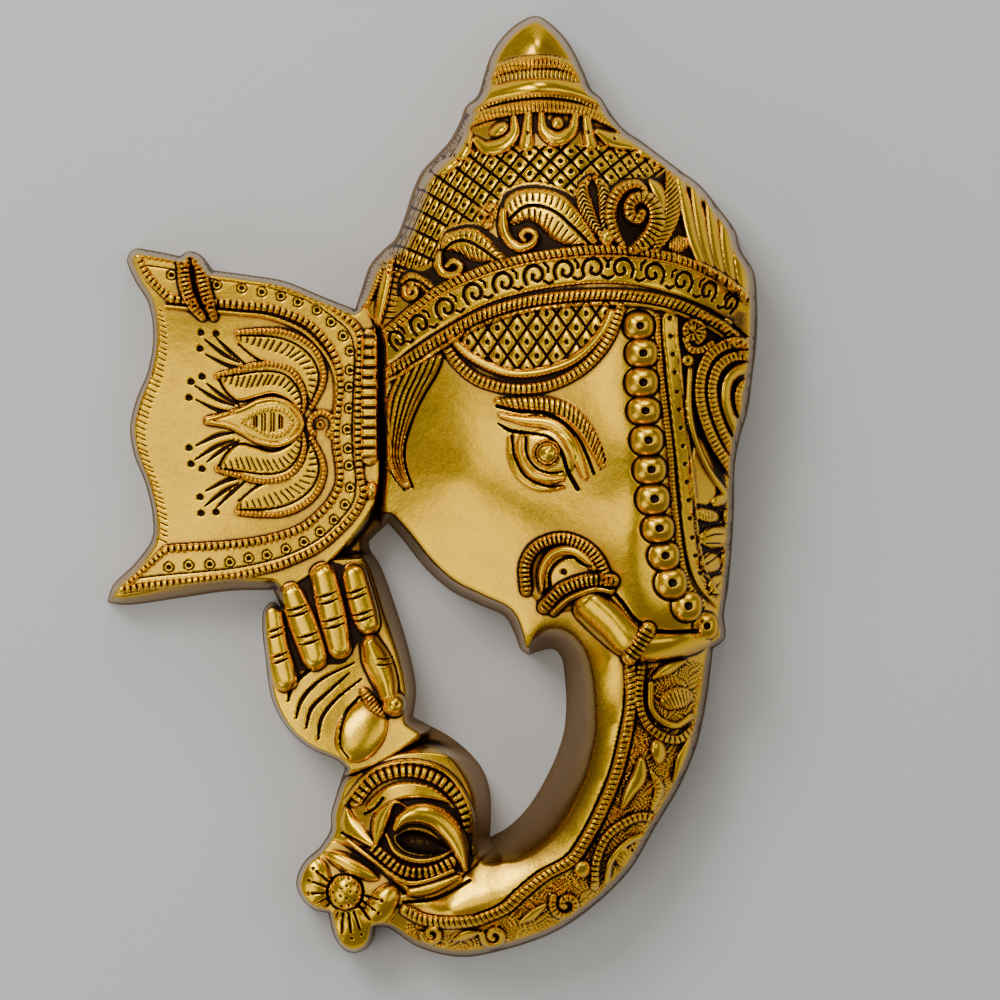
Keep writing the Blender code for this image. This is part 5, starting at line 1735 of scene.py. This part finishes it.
class Sheet:
    """A small helper that lays out a node tree."""

    def __init__(self, tree: bpy.types.NodeTree) -> None:
        """Takes the tree to draw in."""
        self.tree = tree

    def node(self, kind: str, **settings: object) -> bpy.types.Node:
        """Adds a node and its settings."""
        made = self.tree.nodes.new(kind)
        for name, value in settings.items():
            setattr(made, name, value)
        return made

    def feed(self, socket: Socket, value: Socket | float | tuple[float, ...]) -> None:
        """Links a socket to another or sets its value."""
        if isinstance(value, bpy.types.NodeSocket):
            self.tree.links.new(value, socket)
        else:
            socket.default_value = value

    def math(self, operation: str, *values: Socket | float) -> Socket:
        """Adds a math node and returns its result."""
        made = self.node("ShaderNodeMath", operation=operation)
        for socket, value in zip(made.inputs, values):
            self.feed(socket, value)
        return made.outputs[0]

    def ramp(self, value: Socket, low: Socket | float, high: Socket | float) -> Socket:
        """Maps a value smoothly from nought at low to one at high."""
        made = self.node("ShaderNodeMapRange", interpolation_type="SMOOTHSTEP")
        self.feed(made.inputs["Value"], value)
        self.feed(made.inputs["From Min"], low)
        self.feed(made.inputs["From Max"], high)
        return made.outputs["Result"]

    def mix(self, share: Socket, a: Socket | tuple[float, ...], b: Socket | tuple[float, ...]) -> Socket:
        """Mixes two colours."""
        made = self.node("ShaderNodeMix", data_type="RGBA")
        self.feed(made.inputs["Factor"], share)
        self.feed(made.inputs[6], a)
        self.feed(made.inputs[7], b)
        return made.outputs[2]

    def noise(self, place: Socket, scale: float, detail: float = 3.0) -> Socket:
        """Adds a noise texture and returns its value."""
        made = self.node("ShaderNodeTexNoise")
        self.feed(made.inputs["Vector"], place)
        made.inputs["Scale"].default_value = scale
        made.inputs["Detail"].default_value = detail
        return made.outputs["Fac"]

    def attribute(self, name: str) -> Socket:
        """Reads one of the numbers stored at the vertices."""
        return self.node("ShaderNodeAttribute", attribute_name=name).outputs["Fac"]


def new_group(name: str, inputs: dict[str, str], outputs: dict[str, str]) -> tuple[bpy.types.NodeTree, Sheet]:
    """Starts a node group.

    Args:
        name: The group's name.
        inputs: The names and socket kinds of its inputs.
        outputs: The same for its outputs.

    Returns:
        The group and a sheet to lay it out on.
    """
    tree = bpy.data.node_groups.new(name, "ShaderNodeTree")
    for sockets, way in ((inputs, "INPUT"), (outputs, "OUTPUT")):
        for label, kind in sockets.items():
            tree.interface.new_socket(label, in_out=way, socket_type=f"NodeSocket{kind}")
    return tree, Sheet(tree)


@dataclass(frozen=True)
class BrassFinish:
    """Polished antique brass with dark lacquer in its recesses, filed, matt sides, and tarnish with painted
    shade on the slopes beside them.
    """

    bright: tuple[float, ...] = (0.95, 0.56, 0.012, 1.0)
    tarnish: tuple[float, ...] = (0.68, 0.34, 0.045, 1.0)
    lacquer: tuple[float, ...] = (0.020, 0.009, 0.004, 1.0)
    filed: tuple[float, ...] = (0.30, 0.19, 0.09, 1.0)
    # Tarnish and painted shade on the slope between a filed side and the polished top.
    slope_tarnish_and_shade: tuple[float, ...] = (0.24, 0.12, 0.02, 1.0)
    bright_roughness: float = 0.24
    filed_roughness: float = 0.5
    smudge_scale: float = 90.0
    grit_scale: float = 900.0
    file_scale: float = 1400.0
    bump_strength: float = 0.5
    bump_distance: float = 0.0004
    grit_weight: float = 0.5
    smudge_weight: float = 0.5
    fine_weight: float = 0.42
    broad_weight: float = 0.055
    ink_weight: float = 0.85
    belt_weight: float = 0.4
    dark_levels: tuple[float, float] = (0.4, 1.0)
    dull_levels: tuple[float, float] = (-0.3, 0.7)
    filed_levels: tuple[float, float] = (0.15, 0.33)

    def material(self) -> bpy.types.Material:
        """Makes the material.

        Returns:
            A brass that reads the numbers stored at the vertices.
        """
        made = bpy.data.materials.new("antique_brass")
        made.use_nodes = True
        sheet = Sheet(made.node_tree)
        shader = made.node_tree.nodes["Principled BSDF"]
        place = sheet.node("ShaderNodeTexCoord").outputs["Object"]
        patina = sheet.node("ShaderNodeGroup", node_tree=self.patina())
        sheet.feed(patina.inputs["Place"], place)
        for name in ATTRIBUTES:
            sheet.feed(patina.inputs[name], sheet.attribute(name))
        for socket, output in (("Base Color", "Color"), ("Metallic", "Metallic"), ("Roughness", "Roughness")):
            sheet.feed(shader.inputs[socket], patina.outputs[output])
        grain = sheet.node("ShaderNodeGroup", node_tree=self.grain())
        sheet.feed(grain.inputs["Place"], place)
        sheet.feed(grain.inputs["side"], sheet.attribute("side"))
        bump = sheet.node("ShaderNodeBump")
        bump.inputs["Strength"].default_value = self.bump_strength
        bump.inputs["Distance"].default_value = self.bump_distance
        sheet.feed(bump.inputs["Height"], grain.outputs["Height"])
        sheet.feed(shader.inputs["Normal"], bump.outputs["Normal"])
        return made

    def patina(self) -> bpy.types.NodeTree:
        """Lays out where the brass is bright, tarnished, lacquered and filed, and where painted shade darkens
        the slopes next to the sides.
        """
        tree, sheet = new_group(
            "patina",
            {"Place": "Vector", **{name: "Float" for name in ATTRIBUTES}},
            {"Color": "Color", "Metallic": "Float", "Roughness": "Float"},
        )
        given = sheet.node("NodeGroupInput").outputs
        result = sheet.node("NodeGroupOutput").inputs
        smudge = sheet.noise(given["Place"], self.smudge_scale)
        grit = sheet.noise(given["Place"], self.grit_scale)
        level = sheet.math("MULTIPLY_ADD", grit, self.grit_weight, -self.grit_weight / 2)
        weights = {"fine_recess": self.fine_weight, "broad_recess": self.broad_weight, "ink": self.ink_weight}
        for name, weight in weights.items():
            level = sheet.math("MULTIPLY_ADD", given[name], weight, level)
        level = sheet.math("SUBTRACT", level, self.smudge_weight / 2)
        level = sheet.math("MULTIPLY_ADD", smudge, self.smudge_weight, level)
        # The slope next to a side: tarnish and painted shade, added to the darkening.
        belt = sheet.ramp(given["side"], 1.0, self.filed_levels[1])
        level = sheet.math("MULTIPLY_ADD", belt, self.belt_weight, level)
        dark = sheet.ramp(level, *self.dark_levels)
        dull = sheet.ramp(level, *self.dull_levels)
        side = sheet.math("SUBTRACT", 1.0, sheet.ramp(given["side"], *self.filed_levels))
        inner = sheet.math("SUBTRACT", 1.0, given["outside"])
        filed = sheet.math("MAXIMUM", side, inner)
        dark = sheet.math("MULTIPLY", dark, sheet.math("SUBTRACT", 1.0, sheet.math("MULTIPLY", filed, 0.8)))
        colour = sheet.mix(dull, self.bright, self.tarnish)
        # The same slope takes a dark brown: tarnish and painted shade.
        belt = sheet.math("MULTIPLY", sheet.ramp(given["side"], 1.0, 0.45), 0.8)
        colour = sheet.mix(belt, colour, self.slope_tarnish_and_shade)
        colour = sheet.mix(sheet.math("MULTIPLY", filed, 0.9), colour, self.filed)
        colour = sheet.mix(dark, colour, self.lacquer)
        sheet.feed(result["Color"], colour)
        sheet.feed(result["Metallic"], sheet.math("SUBTRACT", 1.0, sheet.math("MULTIPLY", dark, 0.1)))
        rough = sheet.math("MULTIPLY_ADD", dull, 0.14, self.bright_roughness)
        rough = sheet.math("MULTIPLY_ADD", filed, self.filed_roughness - self.bright_roughness, rough)
        rough = sheet.math("MULTIPLY_ADD", dark, 0.1, rough)
        rough = sheet.math("MULTIPLY_ADD", sheet.math("SUBTRACT", grit, 0.5), 0.12, rough)
        sheet.feed(result["Roughness"], rough)
        return tree

    def grain(self) -> bpy.types.NodeTree:
        """Lays out the fine unevenness of hand chasing, with file marks on the sides."""
        tree, sheet = new_group("chasing_grain", {"Place": "Vector", "side": "Float"}, {"Height": "Float"})
        given = sheet.node("NodeGroupInput").outputs
        result = sheet.node("NodeGroupOutput").inputs
        soft = sheet.noise(given["Place"], 260.0)
        fine = sheet.noise(given["Place"], self.grit_scale * 1.6, 2.0)
        file_place = sheet.node("ShaderNodeVectorMath", operation="MULTIPLY")
        sheet.feed(file_place.inputs[0], given["Place"])
        file_place.inputs[1].default_value = (0.12, 0.12, 1.0)
        filed = sheet.noise(file_place.outputs[0], self.file_scale, 2.0)
        side = sheet.math("SUBTRACT", 1.0, sheet.ramp(given["side"], *self.filed_levels))
        height = sheet.math("MULTIPLY_ADD", fine, 0.16, sheet.math("MULTIPLY", soft, 0.55))
        height = sheet.math("MULTIPLY_ADD", sheet.math("MULTIPLY", filed, side), 0.8, height)
        sheet.feed(result["Height"], height)
        return tree


@dataclass(frozen=True)
class Softbox:
    """A square soft light that faces the mask."""

    name: str
    place: tuple[float, float, float]
    size: float
    power: float
    aim: tuple[float, float, float] = (0.0, 0.0, 0.03)

    def hang(self) -> None:
        """Hangs the light."""
        bpy.ops.object.light_add(type="AREA", location=self.place)
        lamp = bpy.context.object
        lamp.name = self.name
        lamp.data.energy = self.power
        lamp.data.size = self.size
        lamp.rotation_euler = (Vector(self.aim) - Vector(self.place)).to_track_quat("-Z", "Y").to_euler()


SOFTBOXES = (
    Softbox("key", (-0.75, 0.95, 1.25), 0.75, 15.0),
    Softbox("fill", (1.2, 0.2, 1.1), 0.9, 3.0),
    Softbox("top", (0.15, 1.5, 0.7), 0.6, 6.0),
    Softbox("low", (-1.1, -0.8, 0.9), 1.1, 6.0),
    Softbox("left_box", (-0.75, 0.25, 2.1), 1.1, 6.0),
    Softbox("right_box", (0.85, -0.1, 2.1), 1.0, 3.0),
)


@dataclass(frozen=True)
class Studio:
    """A pale floor, soft lights and the camera over the mask."""

    floor_half: float = 2.5
    floor_colour: tuple[float, ...] = (0.72, 0.71, 0.69, 1.0)
    floor_roughness: float = 0.7
    cloud_scale: float = 6.0
    cloud_shade: float = 0.96
    camera_height: float = 5.0
    sensor: float = 36.0
    picture_middle: tuple[float, float] = (500.0, 500.0)
    world: tuple[float, ...] = (0.54, 0.53, 0.50, 1.0)
    world_strength: float = 0.32

    def build(self, placing: Placing) -> None:
        """Sets up the floor, the lights and the camera."""
        self.floor()
        for softbox in SOFTBOXES:
            softbox.hang()
        world = bpy.data.worlds.new("studio")
        world.use_nodes = True
        world.node_tree.nodes["Background"].inputs["Color"].default_value = self.world
        world.node_tree.nodes["Background"].inputs["Strength"].default_value = self.world_strength
        bpy.context.scene.world = world
        self.camera(placing)

    def floor(self) -> None:
        """Lays the floor, whose top is the plane of the mask's back."""
        bpy.ops.mesh.primitive_plane_add(size=2 * self.floor_half)
        floor = bpy.context.object
        floor.name = "floor"
        made = bpy.data.materials.new("pale_floor")
        made.use_nodes = True
        sheet = Sheet(made.node_tree)
        shader = made.node_tree.nodes["Principled BSDF"]
        place = sheet.node("ShaderNodeTexCoord").outputs["Object"]
        cloud = sheet.noise(place, self.cloud_scale)
        darker = tuple(value * self.cloud_shade for value in self.floor_colour[:3]) + (1.0,)
        sheet.feed(shader.inputs["Base Color"], sheet.mix(cloud, self.floor_colour, darker))
        shader.inputs["Roughness"].default_value = self.floor_roughness
        floor.data.materials.append(made)

    def camera(self, placing: Placing) -> None:
        """Hangs the camera straight over the middle of the picture."""
        middle = placing.point(*self.picture_middle, 0.0)
        bpy.ops.object.camera_add(location=(middle.x, middle.y, self.camera_height), rotation=(0.0, 0.0, 0.0))
        camera = bpy.context.object
        camera.name = "camera"
        camera.data.sensor_width = self.sensor
        camera.data.lens = self.sensor * self.camera_height / (IMAGE_WIDTH * placing.across)
        bpy.context.scene.camera = camera


def main() -> None:
    """Dresses the mask and sets up the picture."""
    logging.basicConfig(level=logging.INFO, format="%(name)s: %(message)s")
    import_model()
    relief = chased_front(step=1.0)
    placing = Placing(relief)
    finish = BrassFinish().material()
    for assembly in (Casting(relief, placing), BeadString(placing, BEADS), Strap(relief, placing)):
        for piece in assembly.build():
            dress(piece, finish)
    Studio().build(placing)


if __name__ == "__main__":
    main()
